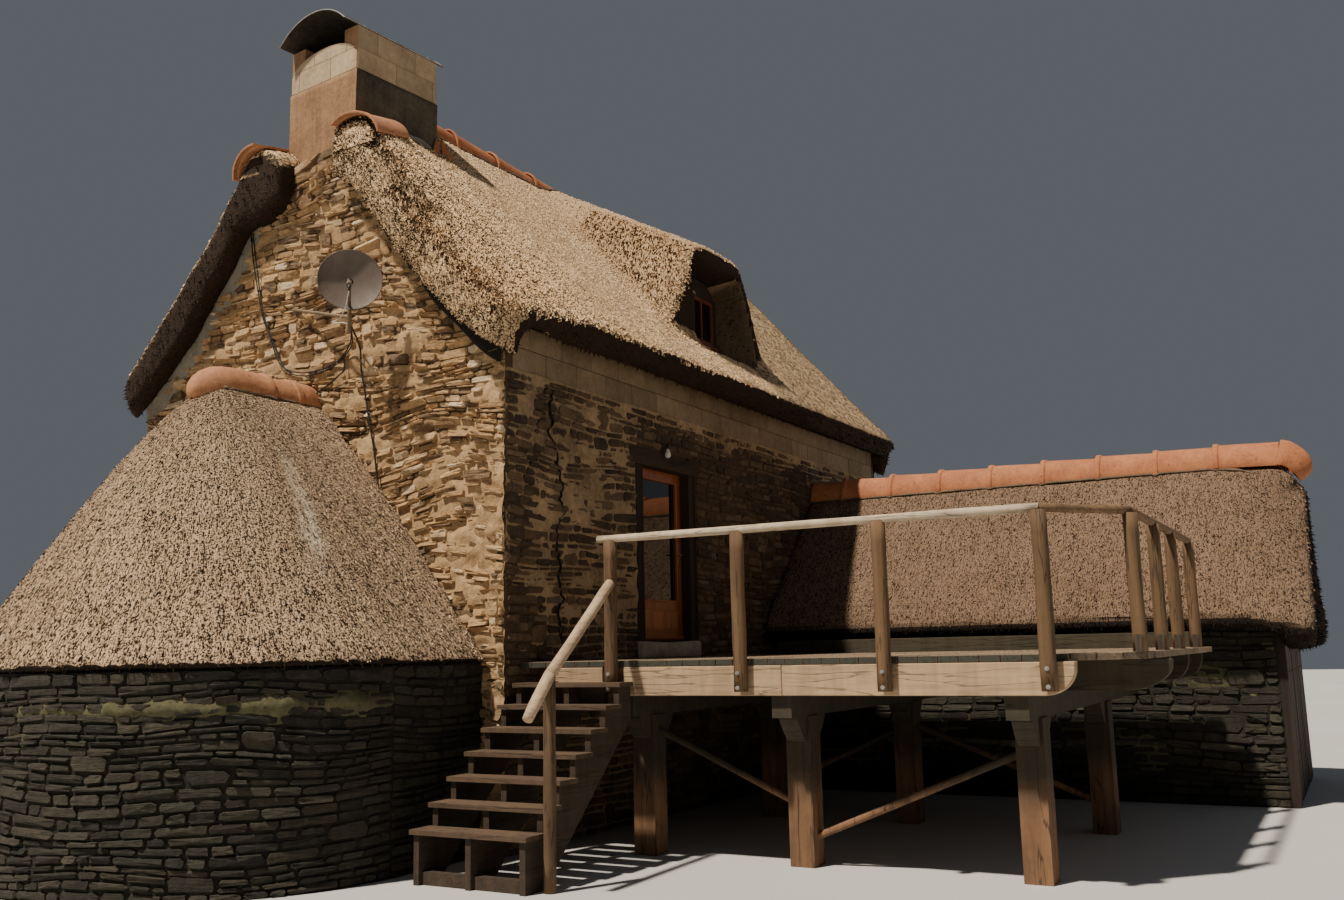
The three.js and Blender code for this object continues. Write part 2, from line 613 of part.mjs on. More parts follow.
// Wing
function wingStation(y, lip) {
  const turn = clamp((-7300 - y) / 965);
  const drop = 450 * turn ** 2.2;
  const outer = [];
  const inner = [];
  const across = [1820, 1815, 1740, 1500, 1100, 700, 350, 120, 50, 0];
  const under = [1590, 1560, 1440, 1250, 950, 600, 300, 110, 45, 0];
  const edge = [1747, 1850, 1980];
  const pull = 110 * turn ** 2;
  [1, -1].forEach((side) => {
    const list = across.map((u, i) => {
      const z = i < 3 ? edge[i] - drop * 0.35 : WING_RIDGE - Math.sqrt(u * u + 2500) + 20 - drop * (0.5 + 0.5 * clamp((1800 - u) / 1000));
      return [WING_RIDGE_X - side * Math.max(0, u - pull * (u / 1820)), y, z];
    });
    const low = under.map((u, i) => {
      const z = lip ? Math.max(1500, 3070 - u) : i === 0 ? 1740 : WING_RIDGE - WING_DEPTH - Math.sqrt(u * u + 2500) + 25;
      return [WING_RIDGE_X - side * (lip ? u - pull * (u / 1820) : u), y, z];
    });
    if (side > 0) {
      outer.push(...list);
      inner.push(...low);
    } else {
      outer.push(...list.slice(0, -1).reverse());
      inner.push(...low.slice(0, -1).reverse());
    }
  });
  return { outer, inner };
}

function wing() {
  const stone = 0x7a6c54;
  const y1 = -HALF_WIDTH - GAP;
  const y0 = WING_END + 50;
  const top = (u) => WING_RIDGE - WING_DEPTH - u - 10;
  [["wing_wall_west", -1], ["wing_wall_east", 1]].forEach(([name, side]) => {
    const outline = [
      [WING_RIDGE_X + side * WING_WALL, 0],
      [WING_RIDGE_X + side * WING_WALL, top(WING_WALL)],
      [WING_RIDGE_X + side * (WING_WALL - WING_THICK), top(WING_WALL - WING_THICK)],
      [WING_RIDGE_X + side * (WING_WALL - WING_THICK), 0],
    ];
    piece(name, prismY(side > 0 ? outline.reverse() : outline, y0 + GAP, y1), stone);
  });
  const end = [
    [WING_RIDGE_X - WING_WALL, 0],
    [WING_RIDGE_X + WING_WALL, 0],
    [WING_RIDGE_X + WING_WALL, top(WING_WALL)],
    [WING_RIDGE_X + 30, top(60)],
    [WING_RIDGE_X - 30, top(60)],
    [WING_RIDGE_X - WING_WALL, top(WING_WALL)],
  ];
  piece("wing_end_boards", prismY(end, WING_END, y0), 0x3a2c20);
  const stations = [
    wingStation(y1, false),
    wingStation(-5000, false),
    wingStation(-7300, false),
    wingStation(-7600, false),
    wingStation(-7800, false),
    wingStation(WING_END - 1, false),
    wingStation(WING_END - 1.5, true),
    wingStation(-8020, true),
    wingStation(-8120, true),
    wingStation(-8195, true),
    wingStation(-8240, true),
  ];
  const roof = loft(stations).subtract(wingTiles(GAP));
  const bodies = roof.decompose().sort((a, b) => b.volume() - a.volume());
  piece("wing_thatch", bodies[0], 0x8a7552);
  piece("wing_ridge_tiles", wingTiles(0), 0xb5633c);
}

function wingTiles(gap) {
  const z = 3530;
  const path = collarPath(-2815, -2815 - 8 * 645, 645, z, "y", WING_RIDGE_X);
  path.unshift([WING_RIDGE_X, -2380 + gap, z, 0], [WING_RIDGE_X, -2812, z, 0]);
  path.push(
    [WING_RIDGE_X, -7975, z, 16],
    [WING_RIDGE_X, -8030, z - 6, 16],
    [WING_RIDGE_X, -8034, z - 7, 0],
    [WING_RIDGE_X, -8110, z - 30, 0, 0.94],
    [WING_RIDGE_X, -8170, z - 70, 0, 0.78],
    [WING_RIDGE_X, -8205, z - 105, 0, 0.56],
    [WING_RIDGE_X, -8222 - gap, z - 130 - gap, 0, 0.3],
  );
  return tileRun(path, 205, 290, gap);
}

// Deck
function deckOutline(inset) {
  const slant = inset * 0.42;
  return [
    [DECK_LEFT + inset, -HALF_WIDTH - 0.5 - inset * 0.4],
    [DECK_LEFT + inset, CHAMFER_Y + slant],
    [CHAMFER_X + slant, DECK_FRONT + inset],
    [DECK_RIGHT - inset, DECK_FRONT + inset],
    [DECK_RIGHT - inset, -HALF_WIDTH - 0.5 - inset * 0.4],
  ];
}

// A beam that runs along Y, with a rounded nose at its free end.
function noseBeam(x0, x1, y0, yNose, length, z0, z1) {
  const outline = [[y0, z0], [y0, z1], [yNose - length, z1]];
  for (let i = 1; i <= 6; i++) {
    const a = (Math.PI / 2) * (i / 6);
    outline.push([yNose - length * Math.cos(a), z1 - 30 - (z1 - z0 - 30) * Math.sin(a)]);
  }
  return prismX(outline.reverse(), x0, x1);
}

function deck() {
  const wood = 0x8a6e4a;
  const floor = join([
    slab(deckOutline(0), DECK_TOP - BOARD, DECK_TOP),
    box(DECK_RIGHT - 60, DECK_RIGHT, DECK_FRONT + 200, -HALF_WIDTH - 300, DECK_TOP - 5, DECK_TOP + 150),
  ]);
  piece("deck_floor", floor.subtract(box(DOOR_LEFT, DOOR_RIGHT, -HALF_WIDTH - 41, -HALF_WIDTH + 1, DECK_TOP, DECK_TOP + 200)), wood);
  const z0 = 1287;
  const z1 = 1490;
  const joists = join([
    slab(deckOutline(50), z1, DECK_TOP - BOARD),
    noseBeam(DECK_LEFT - 4, DECK_LEFT + 96, -3400, -6741, 208, z0, z1),
    box(DECK_LEFT - 4, DECK_LEFT + 46, -3205, -2765, 1370, z1),
    box(DECK_LEFT + 30, DECK_LEFT + 96, -3420, -2700, 1400, z1 + 20),
    noseBeam(700, 800, -2450, -7100, 350, z0, z1),
    noseBeam(2100, 2200, -2450, -7100, 150, z0, z1),
    noseBeam(3300, 3400, -2450, -7100, 150, z0, z1),
    noseBeam(4300, 4400, -2450, -7100, 150, z0, z1),
  ]);
  piece("deck_joists", joists, wood);
  const beamTop = z0;
  const postTop = 1120;
  POST_ROWS.forEach((y, i) => {
    let beam = box(-50, 4450, y - 80, y + 80, postTop, beamTop);
    [POST_FRONT_X, POST_BACK_X].forEach((x) => {
      [-1, 1].forEach((side) => {
        const a = x + side * (POST / 2 + 1);
        const b = x + side * (POST / 2 + 170);
        const outline = [[a, postTop + 1], [a, 930], [a + side * 40, 945], [a + side * 110, 1020], [b, 1100], [b, postTop + 1]];
        if (side > 0) outline.reverse();
        beam = beam.add(prismY(outline, y - 75, y + 75));
      });
    });
    piece("deck_crossbeam_" + (i + 1), beam, wood);
  });
  const [r1, r2, r3] = POST_ROWS;
  [["deck_posts_front", POST_FRONT_X], ["deck_posts_back", POST_BACK_X]].forEach(([name, x]) => {
    const front = x === POST_FRONT_X;
    const posts = POST_ROWS.map((y) => box(x - POST / 2, x + POST / 2, y - POST / 2, y + POST / 2, 0, postTop));
    const braces = front
      ? [rod([x, r1 - 60, 1010], [x, r2 + 60, 450], 27, 10), rod([x, r2 - 60, 205], [x, r3 + 60, 880], 27, 10)]
      : [rod([x, r1 - 60, 300], [x, r2 + 60, 860], 27, 10), rod([x, r2 - 60, 905], [x, r3 + 60, 260], 27, 10)];
    piece(name, join([...posts, ...braces]), wood);
  });
}

function firstRailPost(gap) {
  return rod([DECK_LEFT - 60, -3330, 1320 - gap], [DECK_LEFT - 60, -3330, 2550], 55 + gap, 12);
}

function rail() {
  const x = DECK_LEFT - 60;
  const y = DECK_FRONT + 50;
  const z = 2554;
  const corner = [x, CHAMFER_Y, z];
  const elbow = [CHAMFER_X + 20, y, z];
  const parts = [
    rod([x, -3215, z], corner, 32, 10),
    ball(corner, 33),
    rod(corner, elbow, 32, 10),
    ball(elbow, 33),
    rod(elbow, [3750, y, z], 32, 10),
  ];
  [-3330, -4490, -5640, -6790].forEach((py) => parts.push(rod([x, py, 1320], [x, py, 2550], 55, 12)));
  [490, 1550, 2500, 3700].forEach((px) => parts.push(rod([px, y, DECK_TOP + GAP], [px, y, 2540], 50, 12)));
  piece("deck_rail", join(parts), 0x8c7a5c);
}

// Stairs
const STAIR_Y0 = -3497;
const STAIR_Y1 = -2442;

function noseX(i) {
  return DECK_LEFT - (8 - i) * GOING;
}

function treadTop(i) {
  return DECK_TOP - (8 - i) * RISE;
}

function stairs() {
  const wood = 0x8a6e4a;
  for (let i = 1; i <= 7; i++) {
    const back = Math.min(noseX(i) + 232, DECK_LEFT - 6);
    const tread = box(noseX(i), back, STAIR_Y0, STAIR_Y1, treadTop(i) - 35, treadTop(i));
    piece("stair_tread_" + i, i < 7 ? tread : tread.subtract(firstRailPost(GAP)), wood);
  }
  const carriage = (y) => {
    const outline = [[noseX(1) + 26, 0]];
    for (let i = 1; i <= 7; i++) {
      const next = i < 7 ? noseX(i + 1) + 26 : DECK_LEFT - 6;
      outline.push([noseX(i) + 26, treadTop(i) - 35], [next, treadTop(i) - 35]);
    }
    outline.push([DECK_LEFT - 6, treadTop(7) - 300], [noseX(1) + 260, 0]);
    return prismY(outline.reverse(), y, y + 50);
  };
  const carriages = join([
    carriage(STAIR_Y0 + 25),
    carriage((STAIR_Y0 + STAIR_Y1) / 2 - 25),
    carriage(STAIR_Y1 - 75),
    box(noseX(1) + 60, noseX(1) + 130, STAIR_Y0 + 25, STAIR_Y1 - 25, 0, 90),
    box(DECK_LEFT - 50, DECK_LEFT - 6, STAIR_Y0 + 240, STAIR_Y1 - 25, 1230, 1360),
  ]);
  piece("stair_carriages", carriages, wood);
  const top = [-1350, -3565, 1480];
  const rails = join([
    rod([-1350, -3565, 0], [-1350, -3565, 1490], 45, 12),
    rod(top, [DECK_LEFT - 60, -3330, 2200], 42, 10),
    ball(top, 46),
    rod(top, [-1710, -3638, 1200], 42, 10),
  ]).subtract(firstRailPost(GAP));
  const bodies = rails.decompose().sort((a, b) => b.volume() - a.volume());
  piece("stair_handrail", bodies[0], 0x8c7a5c);
}

// Dish on the gable
function dish() {
  const face = new THREE.Vector3(-0.72, -0.69, 0.05).normalize();
  const center = new THREE.Vector3(-790, -985, 5010);
  const rim = 285;
  const deep = 55;
  const profile = [];
  for (let i = 0; i <= 8; i++) profile.push([(rim * i) / 8, deep * (i / 8) ** 2]);
  const back = profile.map(([r, h], i) => [i === 8 ? rim : r, h - 5]).reverse();
  const points = [...profile, ...back].map(([r, h]) => new THREE.Vector2(r, h));
  const g = new THREE.LatheGeometry(points, 32);
  g.applyQuaternion(new THREE.Quaternion().setFromUnitVectors(new THREE.Vector3(0, 1, 0), face));
  g.translate(...center.clone().addScaledVector(face, -deep).toArray());
  let bowl = solidOf(g);
  const foot = center.clone().addScaledVector(face, -20).add(new THREE.Vector3(0, 0, -252));
  const tip = center.clone().addScaledVector(face, 330).add(new THREE.Vector3(0, 0, -170));
  const horn = tip.clone().addScaledVector(face, -55).add(new THREE.Vector3(0, 0, 40));
  bowl = join([bowl, rod(foot.toArray(), tip.toArray(), 11, 8), rod(tip.toArray(), horn.toArray(), 27, 12)]);
  piece("dish", bowl, 0x4a443c);
  const hub = center.clone().addScaledVector(face, -deep - 5 - GAP);
  const mastX = hub.x - face.x * 60;
  const mastY = hub.y - face.y * 60;
  const bracket = join([
    rod(hub.toArray(), hub.clone().addScaledVector(face, -75).toArray(), 40, 12),
    rod([mastX, mastY, hub.z + 60], [mastX, mastY, 4540], 19, 10),
    rod([mastX, mastY, 4690], [GABLE_FACE - 8, 250, 5040], 16, 10),
    box(GABLE_FACE - 12, GABLE_FACE - GAP, 180, 320, 4960, 5120),
  ]).subtract(box(GABLE_FACE - GAP, GABLE_FACE + 100, 0, 500, 4900, 5200));
  piece("dish_bracket", bracket, 0x6e6e6a);
}

walls();
door();
thatch();
dormer();
tiles();
chimney();
leanto();
wing();
deck();
rail();
stairs();
dish();

export default group;
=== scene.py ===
"""Thatched stone cottage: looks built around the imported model."""

import math
import random

import bmesh
import bpy
import numpy as np
from mathutils import Matrix, Vector, noise
from mathutils.bvhtree import BVHTree


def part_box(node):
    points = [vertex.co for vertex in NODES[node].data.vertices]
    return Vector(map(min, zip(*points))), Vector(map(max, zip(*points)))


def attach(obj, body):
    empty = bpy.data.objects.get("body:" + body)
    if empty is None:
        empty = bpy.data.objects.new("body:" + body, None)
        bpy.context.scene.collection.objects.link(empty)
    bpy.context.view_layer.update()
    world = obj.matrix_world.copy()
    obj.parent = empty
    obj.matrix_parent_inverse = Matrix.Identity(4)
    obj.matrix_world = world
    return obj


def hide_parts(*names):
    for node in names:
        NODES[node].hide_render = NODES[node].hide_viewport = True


bl_info = {
    "name": "Thatched Cottage",
    "version": (1, 0, 0),
    "blender": (4, 5, 0),
    "location": "View3D > Sidebar > Cottage",
    "description": "Stone, thatch and timber detail for the thatched cottage",
    "category": "Add Mesh",
}

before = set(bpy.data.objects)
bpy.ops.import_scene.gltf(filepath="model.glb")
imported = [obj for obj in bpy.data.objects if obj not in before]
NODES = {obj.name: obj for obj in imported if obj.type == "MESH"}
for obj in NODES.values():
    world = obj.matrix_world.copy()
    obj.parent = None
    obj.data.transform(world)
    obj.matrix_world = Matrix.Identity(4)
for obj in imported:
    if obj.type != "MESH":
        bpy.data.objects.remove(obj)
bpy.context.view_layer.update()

# Places on the model, in metres
HALF_WIDTH = 2.365
GABLE_FACE = -0.3
FAR_FACE = 8.838
BLOCK_FOOT = 4.115
BLOCK_MIDDLE = 4.325
BLOCK_TOP = 4.535
LEANTO_MIDDLE = -1.4
LEANTO_DEEP = 1.704
LEANTO_WIDE = 2.13
WING_WEST = 4.99
WING_EAST = 8.03
WING_END = -7.925
DECK_TOP = 1.566
DECK_THICK = 0.05
DECK_LEFT = -0.096
DECK_RIGHT = 4.55
DECK_FRONT = -7.331
DECK_CORNER_X = 0.483
DECK_CORNER_Y = -6.796
RAIL_X = -0.156
RAIL_Y = -7.281
RAIL_Z = 2.554
SIDE_POSTS = (-3.33, -4.49, -5.64, -6.79)
END_POSTS = (0.49, 1.55, 2.5, 3.7)
BLOCK_LONG = 0.5
WING_RIDGE_X = 6.51


# Mesh helpers
class Heap:
    """Many small closed shapes that end up in one mesh, each with a tone from 0 to 1."""

    def __init__(self):
        self.verts = []
        self.faces = []
        self.tones = []

    def add(self, verts, faces, tone=0.5):
        start = len(self.verts)
        self.verts.extend(verts)
        self.faces.extend([tuple(start + i for i in f) for f in faces])
        self.tones.extend([tone] * len(verts))

    def add_arrays(self, verts, faces, tones):
        """verts is (count, n, 3), faces index into one shape's n points, tones is (count,)."""
        start = len(self.verts)
        count, n = verts.shape[:2]
        self.verts.extend(verts.reshape(-1, 3).tolist())
        base = start + np.arange(count) * n
        for f in faces:
            self.faces.extend((base[:, None] + np.array(f)[None, :]).tolist())
        self.tones.extend(np.repeat(tones, n).tolist())

    def make(self, name, material, body="cottage", smooth=False):
        return solid(name, self.verts, self.faces, material, body, smooth, self.tones)


def solid(name, verts, faces, material, body="cottage", smooth=False, tones=None):
    """A mesh object in the model's frame that rides on a body."""
    mesh = bpy.data.meshes.new(name)
    mesh.from_pydata([tuple(v) for v in verts], [], faces)
    if tones is not None:
        tone = mesh.attributes.new("tone", "FLOAT", "POINT")
        tone.data.foreach_set("value", np.array(tones, np.float32))
    mesh.validate()
    mesh.update()
    mesh.polygons.foreach_set("use_smooth", [smooth] * len(mesh.polygons))
    piece = bpy.data.objects.new(name, mesh)
    bpy.context.scene.collection.objects.link(piece)
    piece.data.materials.append(material)
    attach(piece, body)
    return piece


def bevel(piece, width, segments=2, angle=35):
    """Rounds the sharp edges of a piece and leaves plain mesh behind."""
    mod = piece.modifiers.new("bevel", "BEVEL")
    mod.width = width
    mod.segments = segments
    mod.limit_method = "ANGLE"
    mod.angle_limit = math.radians(angle)
    apply_modifiers(piece)


def apply_modifiers(piece):
    graph = bpy.context.evaluated_depsgraph_get()
    mesh = bpy.data.meshes.new_from_object(piece.evaluated_get(graph))
    piece.modifiers.clear()
    old = piece.data
    piece.data = mesh
    mesh.name = piece.name
    bpy.data.meshes.remove(old)


def block(heap, low, high, edge=0.004, tone=0.5, rng=None, wobble=0.0, turn=None, pivot=None):
    """A box with chamfered edges: three rings of corner points on each axis."""
    (x0, y0, z0), (x1, y1, z1) = low, high
    e = min(edge, (x1 - x0) / 3, (y1 - y0) / 3, (z1 - z0) / 3)
    points = []
    index = {}
    for ix, x in enumerate((x0, x1)):
        for iy, y in enumerate((y0, y1)):
            for iz, z in enumerate((z0, z1)):
                sx, sy, sz = 1 - 2 * ix, 1 - 2 * iy, 1 - 2 * iz
                jump = [rng.uniform(-wobble, wobble) if rng else 0 for _ in range(3)]
                corner = (x + jump[0], y + jump[1], z + jump[2])
                index[ix, iy, iz, 0] = len(points)
                points.append((corner[0], corner[1] + sy * e, corner[2] + sz * e))
                index[ix, iy, iz, 1] = len(points)
                points.append((corner[0] + sx * e, corner[1], corner[2] + sz * e))
                index[ix, iy, iz, 2] = len(points)
                points.append((corner[0] + sx * e, corner[1] + sy * e, corner[2]))
    faces = []
    loop = [(0, 0), (1, 0), (1, 1), (0, 1)]
    for side in (0, 1):
        ring = [index[side, a, b, 0] for a, b in loop]
        faces.append(ring if side else ring[::-1])
        ring = [index[a, side, b, 1] for a, b in loop]
        faces.append(ring[::-1] if side else ring)
        ring = [index[a, b, side, 2] for a, b in loop]
        faces.append(ring if side else ring[::-1])
    for a in (0, 1):
        for b in (0, 1):
            faces.append([index[0, a, b, 1], index[0, a, b, 2], index[1, a, b, 2], index[1, a, b, 1]])
            faces.append([index[a, 0, b, 0], index[a, 0, b, 2], index[a, 1, b, 2], index[a, 1, b, 0]])
            faces.append([index[a, b, 0, 0], index[a, b, 0, 1], index[a, b, 1, 1], index[a, b, 1, 0]])
            for c in (0, 1):
                faces.append([index[a, b, c, k] for k in (0, 1, 2)])
    middle = Vector([(x0 + x1) / 2, (y0 + y1) / 2, (z0 + z1) / 2])
    fixed = []
    for f in faces:
        p = [Vector(points[i]) for i in f]
        normal = (p[1] - p[0]).cross(p[2] - p[1])
        center = sum(p, Vector()) / len(p)
        fixed.append(f if normal.dot(center - middle) > 0 else f[::-1])
    if turn is not None:
        about = Vector(pivot) if pivot is not None else middle
        points = [tuple(turn @ (Vector(p) - about) + about) for p in points]
    heap.add(points, fixed, tone)


def tube(heap, points, radii, sides=10, tone=0.5, wobble=0.0, seed=0, caps=True):
    """A round stick through the points, with a radius at each."""
    points = [Vector(p) for p in points]
    rings = []
    side = None
    for i, p in enumerate(points):
        ahead = points[min(i + 1, len(points) - 1)] - points[max(i - 1, 0)]
        ahead.normalize()
        if side is None:
            side = ahead.orthogonal().normalized()
        side = (side - ahead * side.dot(ahead)).normalized()
        up = ahead.cross(side)
        ring = []
        for k in range(sides):
            a = 2 * math.pi * k / sides
            out = side * math.cos(a) + up * math.sin(a)
            r = radii[i] if hasattr(radii, "__len__") else radii
            bump = noise.noise(p * 3 + out * 0.7 + Vector((seed * 7.1, 0, 0))) * wobble if wobble else 0
            ring.append(tuple(p + out * (r + bump)))
        rings.append(ring)
    verts = [v for ring in rings for v in ring]
    faces = []
    for i in range(len(rings) - 1):
        for k in range(sides):
            a, b = i * sides + k, i * sides + (k + 1) % sides
            faces.append((a, b, b + sides, a + sides))
    if caps:
        faces.append(tuple(range(sides))[::-1])
        last = (len(rings) - 1) * sides
        faces.append(tuple(last + k for k in range(sides)))
    heap.add(verts, faces, tone)


def band_faces(count, wide, first=0):
    """Faces of a tube of count rings, each of wide points, whose first point is number first."""
    faces = []
    for i in range(count - 1):
        a = first + i * wide
        for k in range(wide):
            faces.append((a + k, a + (k + 1) % wide, a + wide + (k + 1) % wide, a + wide + k))
    return faces


def sheet_faces(rows, columns, first=0):
    """Faces of an open sheet, whose points run along each row in turn."""
    wide = columns + 1
    faces = []
    for j in range(rows):
        for a in range(first + j * wide, first + j * wide + columns):
            faces.append((a, a + 1, a + wide + 1, a + wide))
    return faces


def along(a, b, count):
    a, b = Vector(a), Vector(b)
    return [a.lerp(b, i / (count - 1)) for i in range(count)]


def bvh_of(*names):
    verts = []
    polygons = []
    for name in names:
        mesh = NODES[name].data
        start = len(verts)
        verts.extend([v.co.copy() for v in mesh.vertices])
        polygons.extend([tuple(start + i for i in p.vertices) for p in mesh.polygons])
    return BVHTree.FromPolygons(verts, polygons)


# Shader node helpers
def put(tree, kind, inputs=None, **settings):
    """Adds a node, sets its settings, and sets or links its inputs by name or number."""
    node = tree.nodes.new(kind)
    for key, value in settings.items():
        setattr(node, key, value)
    for key, value in (inputs or {}).items():
        socket = node.inputs[key]
        if isinstance(value, bpy.types.NodeSocket):
            tree.links.new(value, socket)
        else:
            socket.default_value = value
    return node


def colour(r, g, b):
    """A colour given as screen values from 0 to 255, as the linear values that shaders take."""
    def linear(c):
        c /= 255
        return c / 12.92 if c <= 0.04045 else ((c + 0.055) / 1.055) ** 2.4
    return (linear(r), linear(g), linear(b), 1.0)


def ramp(tree, factor, stops, interpolation="LINEAR"):
    node = put(tree, "ShaderNodeValToRGB", {"Fac": factor})
    node.color_ramp.interpolation = interpolation
    elements = node.color_ramp.elements
    while len(elements) < len(stops):
        elements.new(0.5)
    for element, (place, value) in zip(elements, stops):
        element.position = place
        element.color = value if hasattr(value, "__len__") else (value, value, value, 1)
    return node.outputs["Color"]


def math_node(tree, operation, a, b=0.0, c=0.0, clamp=False):
    node = put(tree, "ShaderNodeMath", {0: a, 1: b, 2: c}, operation=operation)
    node.use_clamp = clamp
    return node.outputs[0]


def mix(tree, factor, a, b, blend="MIX"):
    node = tree.nodes.new("ShaderNodeMix")
    node.data_type = "RGBA"
    node.blend_type = blend
    for socket, value in ((node.inputs[0], factor), (node.inputs[6], a), (node.inputs[7], b)):
        if isinstance(value, bpy.types.NodeSocket):
            tree.links.new(value, socket)
        else:
            socket.default_value = value
    return node.outputs[2]


def stretched(tree, vector, scale):
    return put(tree, "ShaderNodeMapping", {"Vector": vector, "Scale": scale}).outputs["Vector"]


def noise_of(tree, vector, scale, detail=4.0, rough=0.6, distortion=0.0):
    inputs = {"Vector": vector, "Scale": scale, "Detail": detail, "Roughness": rough}
    return put(tree, "ShaderNodeTexNoise", inputs | {"Distortion": distortion}).outputs["Fac"]


def new_group(name, inputs, outputs):
    group = bpy.data.node_groups.new(name, "ShaderNodeTree")
    for label, kind, default in inputs:
        socket = group.interface.new_socket(label, in_out="INPUT", socket_type=kind)
        if default is not None:
            socket.default_value = default
    for label, kind in outputs:
        group.interface.new_socket(label, in_out="OUTPUT", socket_type=kind)
    return group, group.nodes.new("NodeGroupInput"), group.nodes.new("NodeGroupOutput")


def weathering_group():
    """Broad and fine patches between a dark and a light colour, and streaks that run down."""
    inputs = [
        ("Place", "NodeSocketVector", None),
        ("Patch size", "NodeSocketFloat", 1.0),
        ("Dark", "NodeSocketColor", (0.1, 0.1, 0.1, 1)),
        ("Light", "NodeSocketColor", (0.5, 0.5, 0.5, 1)),
        ("Streaks", "NodeSocketFloat", 0.3),
    ]
    outputs = [("Colour", "NodeSocketColor"), ("Mask", "NodeSocketFloat"), ("Height", "NodeSocketFloat")]
    group, source, sink = new_group("Weathering", inputs, outputs)
    scale = math_node(group, "DIVIDE", 1.0, source.outputs["Patch size"])
    broad = noise_of(group, source.outputs["Place"], scale, 5.0, 0.62)
    fine_scale = math_node(group, "MULTIPLY", scale, 9.0)
    fine = noise_of(group, source.outputs["Place"], fine_scale, 6.0, 0.7)
    down = stretched(group, source.outputs["Place"], (6.0, 6.0, 0.5))
    streak = noise_of(group, down, scale, 3.0, 0.6)
    both = math_node(group, "MULTIPLY_ADD", fine, 0.45, math_node(group, "MULTIPLY", broad, 0.55))
    shift = math_node(group, "MULTIPLY", math_node(group, "SUBTRACT", streak, 0.5), source.outputs["Streaks"])
    total = math_node(group, "ADD", both, shift)
    mask = ramp(group, total, [(0.34, 0.0), (0.66, 1.0)])
    group.links.new(mix(group, mask, source.outputs["Dark"], source.outputs["Light"]), sink.inputs["Colour"])
    group.links.new(mask, sink.inputs["Mask"])
    group.links.new(fine, sink.inputs["Height"])
    return group


def grain_group():
    """Wood grain: long fibres, darker rings and drying cracks, along the stretched place given."""
    inputs = [
        ("Place", "NodeSocketVector", None),
        ("Fibre", "NodeSocketFloat", 40.0),
        ("Cracks", "NodeSocketFloat", 0.5),
    ]
    outputs = [("Grain", "NodeSocketFloat"), ("Crack", "NodeSocketFloat"), ("Height", "NodeSocketFloat")]
    group, source, sink = new_group("Wood Grain", inputs, outputs)
    place = source.outputs["Place"]
    fibre = noise_of(group, place, source.outputs["Fibre"], 5.0, 0.65, 0.4)
    ring_scale = math_node(group, "MULTIPLY", source.outputs["Fibre"], 0.22)
    rings = noise_of(group, place, ring_scale, 2.0, 0.5, 1.2)
    grain = math_node(group, "MULTIPLY_ADD", rings, 0.5, math_node(group, "MULTIPLY", fibre, 0.5))
    crack_scale = math_node(group, "MULTIPLY", source.outputs["Fibre"], 0.45)
    cells = noise_of(group, place, crack_scale, 3.0, 0.5, 0.2)
    line = math_node(group, "ABSOLUTE", math_node(group, "SUBTRACT", cells, 0.5))
    thin = ramp(group, line, [(0.0, 1.0), (0.018, 0.0)])
    crack = math_node(group, "MULTIPLY", thin, source.outputs["Cracks"])
    height = math_node(group, "SUBTRACT", math_node(group, "MULTIPLY", fibre, 0.5), crack)
    group.links.new(grain, sink.inputs["Grain"])
    group.links.new(crack, sink.inputs["Crack"])
    group.links.new(height, sink.inputs["Height"])
    return group


def grit_group():
    """Sand and pits, for mortar, blocks, stone and fired clay."""
    inputs = [("Place", "NodeSocketVector", None), ("Size", "NodeSocketFloat", 0.01)]
    outputs = [("Height", "NodeSocketFloat"), ("Pits", "NodeSocketFloat")]
    group, source, sink = new_group("Grit", inputs, outputs)
    scale = math_node(group, "DIVIDE", 1.0, source.outputs["Size"])
    grain = noise_of(group, source.outputs["Place"], scale, 4.0, 0.7)
    lumps = noise_of(group, source.outputs["Place"], math_node(group, "MULTIPLY", scale, 0.15), 5.0, 0.6)
    pit_scale = math_node(group, "MULTIPLY", scale, 0.4)
    pits = put(group, "ShaderNodeTexVoronoi", {"Vector": source.outputs["Place"], "Scale": pit_scale})
    hole = ramp(group, pits.outputs["Distance"], [(0.05, 0.0), (0.2, 1.0)])
    height = math_node(group, "MULTIPLY_ADD", lumps, 1.6, math_node(group, "MULTIPLY", grain, 0.5))
    group.links.new(math_node(group, "MULTIPLY_ADD", hole, 0.25, height), sink.inputs["Height"])
    group.links.new(hole, sink.inputs["Pits"])
    return group


GROUP_MAKERS = {"Weathering": weathering_group, "Wood Grain": grain_group, "Grit": grit_group}
GROUPS = {}


def group_node(tree, name, inputs):
    """Places a shader group, which is built on first use."""
    if name not in GROUPS:
        GROUPS[name] = GROUP_MAKERS[name]()
    return put(tree, "ShaderNodeGroup", inputs, node_tree=GROUPS[name])


def weathered(tree, place, size, dark, light, streaks):
    inputs = {"Place": place, "Patch size": size, "Dark": dark, "Light": light, "Streaks": streaks}
    return group_node(tree, "Weathering", inputs).outputs


def grit_height(tree, place, size):
    return group_node(tree, "Grit", {"Place": place, "Size": size}).outputs["Height"]


def multiplied(tree, a, b):
    return mix(tree, 1.0, a, b, "MULTIPLY")


def parts_of(tree, vector):
    return put(tree, "ShaderNodeSeparateXYZ", {"Vector": vector}).outputs


